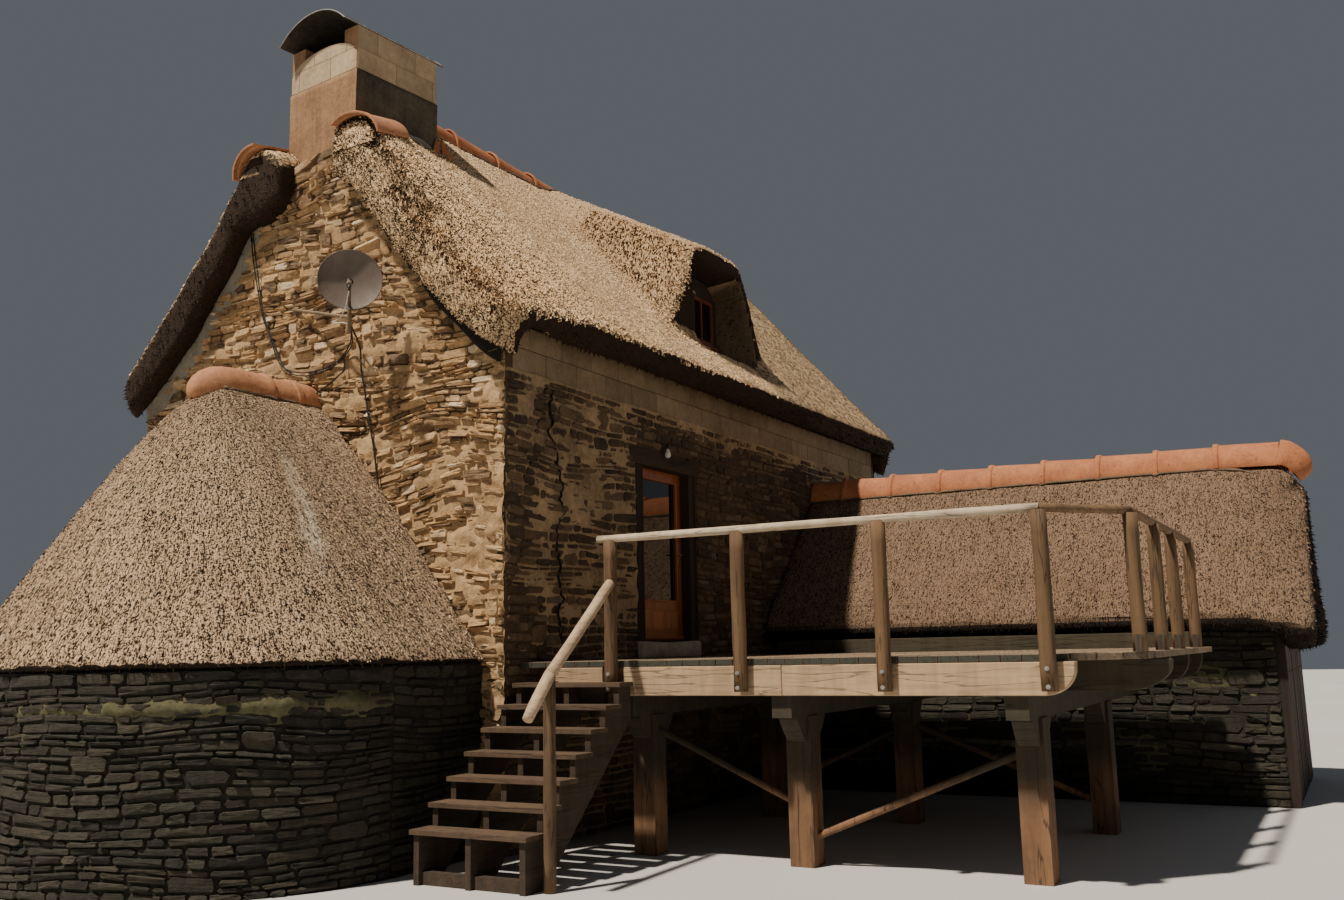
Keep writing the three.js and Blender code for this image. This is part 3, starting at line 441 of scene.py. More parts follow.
def start_material(name, rough=0.5):
    """An empty material with its shader: (material, tree, shader, place on the model, tone)."""
    material = bpy.data.materials.new(name)
    material.use_nodes = True
    tree = material.node_tree
    shader = tree.nodes["Principled BSDF"]
    shader.inputs["Roughness"].default_value = rough
    place = tree.nodes.new("ShaderNodeTexCoord").outputs["Object"]
    tone = put(tree, "ShaderNodeAttribute", attribute_name="tone").outputs["Fac"]
    return material, tree, shader, place, tone


def bump(tree, shader, height, strength, distance):
    node = put(tree, "ShaderNodeBump", {"Height": height, "Strength": strength, "Distance": distance})
    tree.links.new(node.outputs["Normal"], shader.inputs["Normal"])


def paint(tree, shader, value):
    tree.links.new(value, shader.inputs["Base Color"])


# Materials
# Near black for the painted shadow in the dormer's mouth
PAINTED_SHADOW_BLACK = (0.008, 0.006, 0.005, 1)


def stone_material(name, stops, patch_dark, patch_light, patch=0.25):
    """Bedded stone: a colour for each stone by its tone, lichen and soot patches, thin layers."""
    material, tree, shader, place, tone = start_material(name, 0.88)
    base = ramp(tree, tone, stops)
    patches = weathered(tree, place, 0.35, patch_dark, patch_light, 0.5)
    mixed = mix(tree, patch, base, patches["Colour"])
    shade = ramp(tree, noise_of(tree, place, 22.0, 6.0, 0.72), [(0.28, 0.45), (0.5, 0.95), (0.75, 1.35)])
    paint(tree, shader, mix(tree, 0.85, mixed, multiplied(tree, mixed, shade)))
    layers = noise_of(tree, stretched(tree, place, (3.0, 3.0, 26.0)), 3.0, 5.0, 0.65, 0.3)
    height = math_node(tree, "MULTIPLY_ADD", layers, 1.6, grit_height(tree, place, 0.012))
    bump(tree, shader, height, 0.75, 0.012)
    return material


def mortar_material(name, dark, light, size=0.02, patch=0.5, strength=0.7, streaks=0.12):
    """Lime or earth mortar, concrete block and render: patches, sand and small pits."""
    material, tree, shader, place, tone = start_material(name, 0.95)
    patches = weathered(tree, place, patch, dark, light, streaks)
    grit = grit_height(tree, place, size)
    shade = ramp(tree, grit, [(0.5, 0.7), (1.3, 1.15)])
    own = ramp(tree, tone, [(0.0, 0.82), (1.0, 1.14)])
    tinted = multiplied(tree, patches["Colour"], own)
    paint(tree, shader, mix(tree, 0.8, tinted, multiplied(tree, tinted, shade)))
    bump(tree, shader, grit, strength, size * 0.5)
    return material


def comb_place(tree, place, comb):
    """The place on the thatch, squeezed along the slope, so that noise runs down it as combed straw."""
    if comb == "X":
        return stretched(tree, place, (1.0, 0.22, 0.22))
    if comb == "Y":
        return stretched(tree, place, (0.22, 1.0, 0.22))
    from_axis = put(tree, "ShaderNodeVectorMath", {0: place, 1: (1.4, 0.0, 0.0)}, operation="ADD").outputs[0]
    flat = stretched(tree, from_axis, (1.25, 1.0, 0.0))
    way_round = put(tree, "ShaderNodeVectorMath", {0: flat}, operation="NORMALIZE").outputs[0]
    wide = stretched(tree, way_round, (1.6, 1.6, 0.0))
    down = stretched(tree, place, (0.0, 0.0, 0.3))
    return put(tree, "ShaderNodeVectorMath", {0: wide, 1: down}, operation="ADD").outputs[0]


def with_pale_streak(tree, coloured, parts, combed, speck):
    """A bleached streak of bare reed down the round roof, ragged and speckled."""
    ragged = noise_of(tree, combed, 12.0, 5.0, 0.75)
    level = put(tree, "ShaderNodeMapRange", {"Value": parts["Z"], 1: 2.2, 2: 3.5}).outputs[0]
    between_levels = ramp(tree, level, [(0.0, 0.0), (0.25, 1.0), (0.75, 1.0), (1.0, 0.0)])
    way_round = math_node(tree, "ARCTAN2", parts["Y"], math_node(tree, "ADD", parts["X"], 1.4))
    bent = math_node(tree, "MULTIPLY_ADD", parts["Z"], -0.2, way_round)
    sector = put(tree, "ShaderNodeMapRange", {"Value": bent, 1: -2.3, 2: -2.1}).outputs[0]
    in_sector = ramp(tree, sector, [(0.0, 0.0), (0.4, 1.0), (0.6, 1.0), (1.0, 0.0)])
    window = math_node(tree, "MULTIPLY", between_levels, in_sector)
    spot = math_node(tree, "MULTIPLY", window, ramp(tree, ragged, [(0.42, 0.0), (0.52, 1.0)]))
    speckled = math_node(tree, "MULTIPLY", spot, ramp(tree, speck, [(0.46, 0.15), (0.56, 0.85)]))
    return mix(tree, speckled, coloured, colour(250, 232, 202))


FINE_COMB = {"X": (1.0, 0.35, 0.35), "Y": (0.35, 1.0, 0.35), "ROUND": (1.0, 1.0, 0.35)}


def thatch_material(name, comb, dark, middle, light, cut, own_dark=0.8, pale_streak=False, gaps=0.0):
    """Reed thatch: combed grain with dark gaps between the tips and soft patches; cut edges and faces that
    look down are painted dark as shade.
    """
    material, tree, shader, place, tone = start_material(name, 0.92)
    main_roof = comb == "X"
    broad = weathered(tree, place, 1.3, middle, light, 0.2)
    combed = comb_place(tree, place, comb)
    grains = noise_of(tree, combed, 95.0, 3.0, 0.75)
    tips = noise_of(tree, place, 62.0, 2.0, 0.6)
    lines = noise_of(tree, stretched(tree, combed, FINE_COMB[comb]), 30.0, 4.0, 0.7)
    streaked = math_node(tree, "MULTIPLY", lines, 0.3 if main_roof else 0.15)
    grained = math_node(tree, "MULTIPLY_ADD", grains, 0.4 if main_roof else 0.55, streaked)
    speck = math_node(tree, "MULTIPLY_ADD", tips, 0.45, grained)
    parts = parts_of(tree, place)
    facing = parts_of(tree, tree.nodes.new("ShaderNodeNewGeometry").outputs["True Normal"])
    near_verge = ramp(tree, parts["X"], [(0.0, 1.0), (1.0, 0.0)])
    shift = math_node(tree, "MULTIPLY_ADD", near_verge, -0.035, -gaps)
    mask = ramp(tree, math_node(tree, "ADD", speck, shift), [(0.48, 0.0), (0.54, 0.7), (0.66, 1.0)])
    deep = mix(tree, near_verge, dark, tuple(0.3 * c for c in dark[:3]) + (1.0,))
    bright = ramp(tree, near_verge, [(0.0, 1.0), (1.0, 1.42)])
    coloured = mix(tree, mask, deep, multiplied(tree, broad["Colour"], bright))
    if pale_streak:
        coloured = with_pale_streak(tree, coloured, parts, combed, speck)
    own = ramp(tree, tone, [(0.0, own_dark), (0.5, 1.0), (1.0, 1.32)])
    tinted = multiplied(tree, coloured, own)
    # Painted shade: faces that look down or sideways, such as the eave's cut band and the dormer's flanks,
    # take the dark cut colour
    underside_shade = ramp(tree, facing["Z"], [(0.14, 1.0), (0.38, 0.0)])
    if main_roof:
        verge = math_node(tree, "LESS_THAN", facing["X"], -0.5)
        spared = math_node(tree, "MULTIPLY", verge, math_node(tree, "LESS_THAN", parts["Y"], 0.0))
        underside_shade = math_node(tree, "MULTIPLY", underside_shade, math_node(tree, "SUBTRACT", 1.0, spared))
    # The dark cut colour, speckled: painted shade, partly the darker cut straw
    cut_shade = multiplied(tree, ramp(tree, speck, [(0.42, 0.35), (0.62, 1.25)]), cut)
    coloured = mix(tree, underside_shade, tinted, cut_shade)
    if main_roof:
        # Painted shadow: the cheek inside the dormer's mouth, which faces the key light, turns nearly black
        in_mouth = put(tree, "ShaderNodeMapRange", {"Value": parts["X"], 1: 4.3, 2: 4.5}).outputs[0]
        cheek = math_node(tree, "LESS_THAN", facing["X"], -0.45)
        mouth_shadow = math_node(tree, "MULTIPLY", in_mouth, cheek)
        coloured = mix(tree, math_node(tree, "MULTIPLY", mouth_shadow, 0.8), coloured, PAINTED_SHADOW_BLACK)
    paint(tree, shader, coloured)
    shader.inputs["Specular IOR Level"].default_value = 0.2
    height = math_node(tree, "MULTIPLY_ADD", tips, 0.9, math_node(tree, "MULTIPLY_ADD", lines, 0.6, grains))
    bump(tree, shader, height, 0.9, 0.016)
    return material


def wood_material(name, axis, dark, light, crack=0.5, rough=0.8, fibre=26.0, stain=None, varnish=False,
                  ends=None, moss_and_shade=None):
    """Timber with its grain along one axis of the model."""
    material, tree, shader, place, tone = start_material(name, rough)
    scale = [1.0, 1.0, 1.0]
    scale["XYZ".index(axis)] = 0.06
    by_tone = put(tree, "ShaderNodeCombineXYZ", {"X": tone, "Y": tone, "Z": tone}).outputs[0]
    shifted = put(tree, "ShaderNodeVectorMath", {0: place, 1: by_tone}, operation="ADD").outputs[0]
    inputs = {"Place": stretched(tree, shifted, scale), "Fibre": fibre, "Cracks": crack}
    grain = group_node(tree, "Wood Grain", inputs).outputs
    base = ramp(tree, grain["Grain"], [(0.3, dark), (0.68, light)])
    own = ramp(tree, tone, [(0.0, 0.72), (0.5, 1.0), (1.0, 1.22)])
    tinted = multiplied(tree, base, own)
    if stain is not None:
        tinted = mix(tree, 0.3, tinted, weathered(tree, place, 0.5, stain, light, 0.8)["Colour"])
    if ends is not None:
        facing = parts_of(tree, tree.nodes.new("ShaderNodeNewGeometry").outputs["True Normal"])
        end_grain = ramp(tree, math_node(tree, "ABSOLUTE", facing[axis]), [(0.6, 0.0), (0.8, 1.0)])
        tinted = mix(tree, end_grain, tinted, ends)
    # Darker, greener upper part: moss, and painted shade under the deck
    if moss_and_shade is not None:
        uneven = noise_of(tree, place, 9.0, 4.0, 0.7)
        ragged = math_node(tree, "MULTIPLY_ADD", uneven, 0.25, parts_of(tree, place)["Z"])
        upper_moss_and_shade = math_node(tree, "MULTIPLY", ramp(tree, ragged, [(0.55, 0.0), (0.85, 1.0)]), 0.85)
        tinted = mix(tree, upper_moss_and_shade, tinted, moss_and_shade)
    paint(tree, shader, mix(tree, grain["Crack"], tinted, (0.008, 0.006, 0.004, 1)))
    if varnish:
        shader.inputs["Coat Weight"].default_value = 0.5
        shader.inputs["Coat Roughness"].default_value = 0.2
    bump(tree, shader, grain["Height"], 0.12 if varnish else 0.5, 0.006)
    return material


def tile_material(name, dark, light):
    """Fired clay tile: pale dust, dark lichen spots, sandy surface."""
    material, tree, shader, place, _ = start_material(name, 0.82)
    patches = weathered(tree, place, 0.3, dark, light, 0.2)
    spots = put(tree, "ShaderNodeTexVoronoi", {"Vector": place, "Scale": 9.0, "Randomness": 1.0})
    uneven = noise_of(tree, place, 30.0, 4.0, 0.7)
    ragged = math_node(tree, "MULTIPLY_ADD", uneven, 0.25, spots.outputs["Distance"])
    lichen = ramp(tree, ragged, [(0.2, 1.0), (0.27, 0.0)])
    spotted = mix(tree, math_node(tree, "MULTIPLY", lichen, 0.55), patches["Colour"], colour(84, 66, 50))
    paint(tree, shader, spotted)
    bump(tree, shader, grit_height(tree, place, 0.008), 0.45, 0.004)
    return material


def metal_material(name, dark, light, metallic=0.8, rough=0.5, size=0.2):
    """Sheet or tube metal with dull patches and fine scratches."""
    material, tree, shader, place, _ = start_material(name)
    patches = weathered(tree, place, size, dark, light, 0.6)
    paint(tree, shader, patches["Colour"])
    shader.inputs["Metallic"].default_value = metallic
    worn = math_node(tree, "MULTIPLY_ADD", patches["Mask"], -0.2, rough + 0.1)
    tree.links.new(worn, shader.inputs["Roughness"])
    bump(tree, shader, patches["Height"], 0.2, 0.002)
    return material


def glass_material(name, dark, light):
    """Window glass seen from outside: dark room behind, slight waviness and dust."""
    material, tree, shader, place, _ = start_material(name, 0.04)
    paint(tree, shader, weathered(tree, place, 0.4, dark, light, 0.4)["Colour"])
    shader.inputs["IOR"].default_value = 1.5
    shader.inputs["Coat Weight"].default_value = 0.6
    shader.inputs["Coat Roughness"].default_value = 0.02
    bump(tree, shader, noise_of(tree, place, 2.5, 1.0, 0.5), 0.08, 0.01)
    return material


# What each finish is made of: its kind, then the values in that kind's own order
RECIPES = {
    "sunlit_schist": (
        stone_material,
        [(0.0, (84, 62, 42)), (0.3, (140, 106, 70)), (0.6, (188, 148, 100)), (0.9, (206, 172, 128)),
         (1.0, (230, 208, 172))],
        (86, 70, 52), (210, 182, 140)),
    "shaded_schist": (
        stone_material,
        [(0.0, (38, 28, 21)), (0.35, (72, 54, 38)), (0.7, (108, 84, 60)), (1.0, (122, 104, 82))],
        (38, 32, 24), (132, 110, 82), 0.35),
    # Darker stones for the lean-to and the wing under their eaves: painted shade
    "dark_schist": (
        stone_material,
        [(0.0, (20, 18, 14)), (0.4, (38, 34, 27)), (0.8, (60, 53, 41)), (1.0, (50, 50, 41))],
        (22, 22, 18), (80, 74, 58), 0.3),
    "earth_mortar": (mortar_material, (54, 42, 30), (110, 88, 62), 0.02, 0.6),
    "lime_mortar": (mortar_material, (98, 80, 57), (182, 156, 120), 0.016),
    "pale_block": (mortar_material, (138, 118, 92), (186, 166, 136), 0.012),
    "eave_block": (mortar_material, (108, 92, 70), (150, 132, 106), 0.012),
    "block_joint": (mortar_material, (70, 58, 43), (110, 95, 74), 0.01, 0.3),
    "grey_fillet": (mortar_material, (104, 98, 84), (164, 158, 142), 0.014, 0.3),
    "crack_shadow": (mortar_material, (14, 11, 8), (34, 27, 20), 0.02, 0.3),
    "chimney_render": (mortar_material, (126, 92, 62), (176, 138, 102), 0.02, 0.35, 0.7, 0.3),
    # Darker copy of the chimney render for its south face: partly stain, partly painted shade
    "stained_render": (mortar_material, (56, 50, 41), (104, 93, 77), 0.02, 0.35, 0.7, 0.4),
    # Dark mortar of the lean-to and wing walls: moss, and painted shade under the eaves
    "mossy_mortar": (mortar_material, (18, 16, 12), (46, 41, 31)),
    "mossy_lime": (mortar_material, (58, 57, 38), (104, 99, 70), 0.016, 0.4),
    "sunlit_mortar": (mortar_material, (122, 95, 64), (200, 167, 123), 0.022, 0.4, 1.0),
    "dark_bedding": (mortar_material, (58, 46, 34), (118, 98, 76), 0.016, 0.2),
    "worn_step": (mortar_material, (140, 124, 104), (206, 192, 170), 0.012, 0.3),
    "pale_thatch": (thatch_material, "X", (92, 68, 46), (228, 191, 146), (250, 219, 177), (50, 38, 29)),
    "leanto_thatch": (
        thatch_material, "ROUND", (66, 50, 38), (196, 165, 133), (224, 194, 160), (44, 34, 26),
        0.76, True, 0.015),
    "brown_thatch": (
        thatch_material, "Y", (40, 30, 23), (146, 118, 94), (172, 143, 118), (36, 28, 22),
        0.8, False, 0.025),
    # Darker copy of the thatch for the eave's cut ends and the rear verge plug: partly the darker cut straw,
    # partly painted shade
    "cut_straw": (thatch_material, "X", (28, 21, 15), (58, 43, 30), (80, 60, 43), (46, 34, 25)),
    "chimney_shards": (tile_material, (62, 40, 28), (108, 70, 50)),
    "terracotta": (tile_material, (146, 86, 54), (192, 124, 80)),
    "pale_terracotta": (tile_material, (152, 100, 68), (206, 148, 106)),
    "floor_planks": (wood_material, "X", (92, 66, 42), (150, 114, 78)),
    "dark_timber": (wood_material, "X", (40, 30, 22), (84, 62, 44), 0.7),
    "dark_timber_up": (wood_material, "Z", (32, 23, 17), (66, 47, 33), 0.6),
    "varnished_door": (wood_material, "Z", (128, 66, 24), (190, 112, 52), 0.05, 0.35, 30.0, None, True),
    "red_brown_timber": (wood_material, "Z", (70, 34, 22), (124, 66, 44), 0.2, 0.5),
    "deck_along": (
        wood_material, "X", (96, 78, 60), (160, 136, 110), 0.6, 0.85, 26.0, (80, 68, 52), False,
        (58, 58, 48)),
    "deck_across": (wood_material, "Y", (124, 100, 74), (196, 166, 132), 0.6, 0.85, 26.0, (112, 94, 72)),
    # The posts' darker upper part is moss and painted shade from the deck
    "deck_upright": (
        wood_material, "Z", (96, 68, 46), (160, 118, 84), 0.8, 0.85, 26.0, (76, 62, 42), False, None,
        (32, 31, 22)),
    "bleached_pole": (wood_material, "Y", (150, 130, 104), (214, 197, 172), 0.6, 0.85, 30.0, (104, 82, 60)),
    "bleached_slope": (wood_material, "X", (140, 114, 86), (196, 172, 142), 0.4, 0.85, 26.0, (98, 76, 54)),
    "brown_pole": (wood_material, "Z", (66, 48, 32), (122, 94, 64), 0.7, 0.85, 30.0, (54, 47, 33)),
    # Browner copy of the pale rail for the corner and end runs: painted shade
    "brown_rail_x": (wood_material, "X", (84, 62, 42), (140, 110, 78), 0.6, 0.85, 30.0, (70, 60, 44)),
    "tread_wood": (wood_material, "Y", (66, 50, 36), (112, 88, 66), 0.6, 0.85, 26.0, (52, 43, 32)),
    # Dark wood of the stair's carriages: painted shade on their sides
    "carriage_wood": (wood_material, "X", (44, 34, 26), (82, 64, 48), 0.6, 0.85, 26.0, (32, 28, 20)),
    "shaded_beam": (wood_material, "Y", (40, 36, 26), (78, 68, 50), 0.6, 0.85, 26.0, (34, 34, 24)),
    "window_glass": (glass_material, (9, 8, 7), (22, 20, 18)),
    "sheet_metal": (metal_material, (48, 45, 41), (90, 85, 78), 0.7, 0.55, 0.5),
    "dish_paint": (metal_material, (84, 73, 64), (112, 98, 87), 0.0, 0.6, 1.2),
    "aged_steel": (metal_material, (52, 45, 38), (92, 82, 69), 0.4, 0.6, 0.1),
    "bracket_paint": (metal_material, (96, 82, 62), (150, 130, 102), 0.2, 0.6, 0.1),
    "galvanised": (metal_material, (110, 108, 102), (170, 166, 158), 0.85, 0.45, 0.1),
    # Pale metal for the bolts and the cap's hem; on the hem it also paints the highlight of the cap's lit rim
    "bright_edge": (metal_material, (150, 148, 144), (214, 212, 206), 0.8, 0.4, 0.1),
    "rusty_iron": (metal_material, (60, 34, 22), (122, 74, 46), 0.3, 0.75, 0.05),
    "black_cable": (metal_material, (14, 13, 12), (32, 29, 27), 0.0, 0.5, 0.05),
    "white_plastic": (metal_material, (200, 196, 186), (236, 232, 224), 0.0, 0.4, 0.05),
}
FINISHES = {}


def with_colours(value):
    """Turns screen colours into shader colours, also in a list of stops, and leaves other values alone."""
    if isinstance(value, tuple):
        return colour(*value)
    if isinstance(value, list):
        return [(place, colour(*tint)) for place, tint in value]
    return value


def finish(name):
    """The material of that name, made on first use."""
    if name not in FINISHES:
        maker, *values = RECIPES[name]
        FINISHES[name] = maker(name, *(with_colours(value) for value in values))
    return FINISHES[name]


# Stone walls
def straight_wall(start, end, outward):
    """Returns at(s) for a straight face: the plan point s metres along it and its outward normal."""
    a, b = Vector(start), Vector(end)
    run = (b - a).normalized()

    def at(s):
        p = a + run * s
        return p.x, p.y, outward[0], outward[1]

    return at, (b - a).length


def round_wall():
    """The half oval end of the lean-to, from its back end round to its front end."""
    steps = 240
    points = []
    for i in range(steps + 1):
        a = math.pi / 2 + math.pi * i / steps
        points.append(Vector((LEANTO_MIDDLE + LEANTO_DEEP * math.cos(a), LEANTO_WIDE * math.sin(a))))
    lengths = [0.0]
    for p, q in zip(points, points[1:]):
        lengths.append(lengths[-1] + (q - p).length)

    def at(s):
        i = min(max(int(np.searchsorted(lengths, s)) - 1, 0), steps - 1)
        t = (s - lengths[i]) / (lengths[i + 1] - lengths[i])
        p = points[i].lerp(points[i + 1], t)
        run = (points[i + 1] - points[i]).normalized()
        return p.x, p.y, run.y, -run.x

    return at, lengths[-1]


def ragged_ring(rng, reach):
    """Outline of one stone in its place, with each corner broken off by its own amount."""
    ring = []
    for u, v, du, dv in ((0, 0, 1, 1), (1, 0, -1, 1), (1, 1, -1, -1), (0, 1, 1, -1)):
        along_u = reach * rng.uniform(0.3, 1.6)
        along_v = rng.uniform(0.12, 0.46)
        upright = (u, v + dv * along_v)
        level = (u + du * along_u, v)
        ring.extend([upright, level] if (u == v) else [level, upright])
    return ring


def rubble(heap, wall, z0, z1, nodes, seed, high, long, proud, gap=0.008, wander=0.02):
    """Lays thin stones in wavering courses wherever the nodes' face is met, each standing a little proud."""
    at, length = wall
    step = 0.02
    tree = bvh_of(*nodes)
    rng = random.Random(seed)
    offset = Vector((seed * 3.7, seed * 1.3, 0))

    def there(s, z):
        if s < 0 or s > length:
            return False
        x, y, nx, ny = at(s)
        hit = tree.ray_cast(Vector((x + nx * 0.08, y + ny * 0.08, z)), Vector((-nx, -ny, 0)), 0.13)
        return hit[0] is not None and abs(hit[1].dot(Vector((nx, ny, 0)))) > 0.8

    def line(z, s):
        near = min(1.0, (z - z0) / 0.15, (z1 - z) / 0.15)
        return z + wander * max(near, 0.0) * noise.noise(Vector((s * 0.9, z * 1.7, 0)) + offset) * 2

    def edge(s, z, way):
        while there(s + way * 0.01, z) and abs(s) < length + 1:
            s += way * 0.01
        return s

    z = z0
    taken = []
    while z < z1 - 0.02:
        h = min(rng.uniform(*high), z1 - z)
        if z1 - z - h < high[0]:
            h = z1 - z
        middle = z + h / 2
        samples = [i * step for i in range(int(length / step) + 1)]
        inside = [there(s, middle) and not any(a < s < b for a, b in taken) for s in samples]
        blocked = taken
        taken = []
        runs = []
        start = None
        for s, ok in zip(samples + [length + step], inside + [False]):
            if ok and start is None:
                start = s
            if not ok and start is not None:
                if s - step - start > 0.05:
                    runs.append((start, s - step))
                start = None
        for a, b in runs:
            low_a = top_a = a
            low_b = top_b = b
            if not any(abs(a - q) < step * 1.6 for _, q in blocked):
                low_a, top_a = (edge(a + 0.03, z + share * h, -1) for share in (0.15, 0.85))
            if not any(abs(b - p) < step * 1.6 for p, _ in blocked):
                low_b, top_b = (edge(b - 0.03, z + share * h, 1) for share in (0.15, 0.85))
            run = max(b - a, 0.05)
            s = 0.0
            cuts = [0.0]
            while s < 1.0:
                s += rng.uniform(*long) * rng.uniform(0.6, 1.0) * (0.6 + 0.4 * h / high[1]) / run
                cuts.append(min(s, 1.0))
            if len(cuts) > 2 and cuts[-1] - cuts[-2] < 0.4 * long[0] / run:
                cuts.pop(-2)
            for p, q in zip(cuts, cuts[1:]):
                lean_p = rng.uniform(-0.12, 0.12) * h
                lean_q = rng.uniform(-0.12, 0.12) * h
                if not p > 0:
                    lean_p = 0
                if not q < 1:
                    lean_q = 0
                quad = [low_a + (low_b - low_a) * p + lean_p, low_a + (low_b - low_a) * q + lean_q,
                        top_a + (top_b - top_a) * q - lean_q, top_a + (top_b - top_a) * p - lean_p]
                tall = h
                inner = quad[1] - quad[0] > 0.1 and p > 0 and q < 1
                if rng.random() < 0.04 and z + 2 * h < z1 - 0.1 and inner:
                    tall = h + rng.uniform(*high)
                    taken.append((min(quad[0], quad[3]), max(quad[1], quad[2])))
                stone(heap, at, line, quad, z, z + tall, rng, proud, gap)
        z += h


def stone(heap, at, line, quad, low, top, rng, proud, gap):
    """One stone in the four-cornered place that the quad and the two bed lines give it."""
    depth = rng.uniform(*proud)
    tilt = rng.uniform(-0.5, 0.5) * depth
    g = gap * rng.uniform(0.5, 1.4)
    width = max(quad[1] - quad[0], 0.02)
    high = top - low
    round_off = rng.uniform(0.6, 1.2)
    inner = min(0.007 * round_off, width * 0.2, high * 0.18)

    def on_wall(u, v):
        s = (quad[0] * (1 - u) + quad[1] * u) * (1 - v) + (quad[3] * (1 - u) + quad[2] * u) * v
        return at(s), line(low, s) * (1 - v) + line(top, s) * v

    back, rim = [], []
    for u, v in ragged_ring(rng, min(0.2, 0.28 * high / width)):
        u = 0.5 + (u - 0.5) * (1 - 2 * g / width) + rng.uniform(-0.4, 0.4) * min(0.012, width * 0.1) / width
        v = 0.5 + (v - 0.5) * (1 - 2 * g / high) + rng.uniform(-0.1, 0.1)
        v = min(max(v, 0.02), 0.98)
        (x, y, nx, ny), z = on_wall(u, v)
        back.append((x - nx * 0.02, y - ny * 0.02, z))
        (x, y, nx, ny), z = on_wall(0.5 + (u - 0.5) * (1 - 2 * inner / width),
                                    0.5 + (v - 0.5) * (1 - 2 * inner / high))
        d = max(depth + tilt * (v - 0.5) * 2 + rng.uniform(-0.35, 0.35) * depth, 0.003)
        rim.append((x + nx * d, y + ny * d, z))
    s = (quad[0] + quad[1] + quad[2] + quad[3]) / 4
    x, y, nx, ny = at(s)
    d = depth * rng.uniform(0.95, 1.25)
    center = (x + nx * d, y + ny * d, (line(low, s) + line(top, s)) / 2)
    n = len(rim)
    faces = []
    spread = sum((Vector(rim[i - 1]).cross(Vector(rim[i])) for i in range(n)), Vector())
    turn = spread.dot(Vector((nx, ny, 0))) > 0
    for i in range(n):
        j = (i + 1) % n
        side = (i, j, n + j, n + i)
        cap = (n + i, n + j, 2 * n)
        faces.append(side if turn else side[::-1])
        faces.append(cap if turn else cap[::-1])
    base = tuple(range(n))
    faces.append(base[::-1] if turn else base)
    heap.add(back + rim + [center], faces, rng.random())


GABLE = straight_wall((GABLE_FACE, HALF_WIDTH), (GABLE_FACE, -HALF_WIDTH), (-1, 0))
FAR_GABLE = straight_wall((FAR_FACE, -HALF_WIDTH), (FAR_FACE, HALF_WIDTH), (1, 0))
FRONT = straight_wall((GABLE_FACE, -HALF_WIDTH), (FAR_FACE, -HALF_WIDTH), (0, -1))
BACK = straight_wall((FAR_FACE, HALF_WIDTH), (GABLE_FACE, HALF_WIDTH), (0, 1))
LEANTO_FRONT = straight_wall((LEANTO_MIDDLE, -LEANTO_WIDE), (GABLE_FACE, -LEANTO_WIDE), (0, -1))
LEANTO_BACK = straight_wall((GABLE_FACE, LEANTO_WIDE), (LEANTO_MIDDLE, LEANTO_WIDE), (0, 1))
LEANTO_ROUND = round_wall()
WEST = straight_wall((WING_WEST, -HALF_WIDTH), (WING_WEST, WING_END), (-1, 0))
EAST = straight_wall((WING_EAST, WING_END), (WING_EAST, -HALF_WIDTH), (1, 0))
WEST_END = straight_wall((WING_WEST, WING_END), (WING_WEST + 0.45, WING_END), (0, -1))
EAST_END = straight_wall((WING_EAST - 0.45, WING_END), (WING_EAST, WING_END), (0, -1))

FRONT_NODES = ["front_wall_left", "front_wall_right", "front_wall_over_door", "front_wall_under_door",
               "gable_wall", "far_gable_wall"]
BACK_NODES = ["back_wall", "gable_wall", "far_gable_wall"]
ARC_NODES = ["leanto_arc_1", "leanto_arc_2", "leanto_arc_3", "leanto_arc_4"]
LEANTO_NODES = ["leanto_wall_front", "leanto_wall_back"] + ARC_NODES

# One row for each skin of stones: name, finish, top, how far they stand out, gap and wander of the beds,
# then for each wall its face, nodes, seed, and the least and greatest height and length of a stone
STONES_TOP = BLOCK_FOOT - 0.02
STONE_SKINS = [
    ("gable_stones", "sunlit_schist", 6.9, (0.002, 0.044), 0.005, 0.09,
     [(GABLE, ["gable_wall"], 11, (0.032, 0.085), (0.1, 0.4))]),
    ("far_gable_stones", "sunlit_schist", 6.9, (0.008, 0.028), 0.008, 0.04,
     [(FAR_GABLE, ["far_gable_wall"], 12, (0.06, 0.13), (0.2, 0.6))]),
    ("front_stones", "shaded_schist", STONES_TOP, (0.006, 0.028), 0.007, 0.04,
     [(FRONT, FRONT_NODES, 21, (0.04, 0.1), (0.14, 0.46))]),
    ("back_stones", "sunlit_schist", STONES_TOP, (0.008, 0.028), 0.009, 0.04,
     [(BACK, BACK_NODES, 22, (0.06, 0.14), (0.2, 0.6))]),
    # The lean-to's stones take the darker copy, as painted shade
    ("leanto_stones", "dark_schist", 1.57, (0.004, 0.024), 0.006, 0.04,
     [(LEANTO_FRONT, LEANTO_NODES, 31, (0.04, 0.09), (0.16, 0.5)),
      (LEANTO_BACK, LEANTO_NODES, 32, (0.04, 0.09), (0.16, 0.5)),
      (LEANTO_ROUND, LEANTO_NODES, 33, (0.04, 0.09), (0.16, 0.5))]),
]
WING_STONES = [
    (WEST, ["wing_wall_west"], 41, (0.05, 0.11), (0.18, 0.6), 0.007, 0.03),
    (EAST, ["wing_wall_east"], 42, (0.06, 0.12), (0.16, 0.5), 0.009, 0.03),
    (WEST_END, ["wing_wall_west"], 43, (0.07, 0.13), (0.2, 0.45), 0.009, 0.02),
    (EAST_END, ["wing_wall_east"], 44, (0.07, 0.13), (0.2, 0.45), 0.009, 0.02),
]


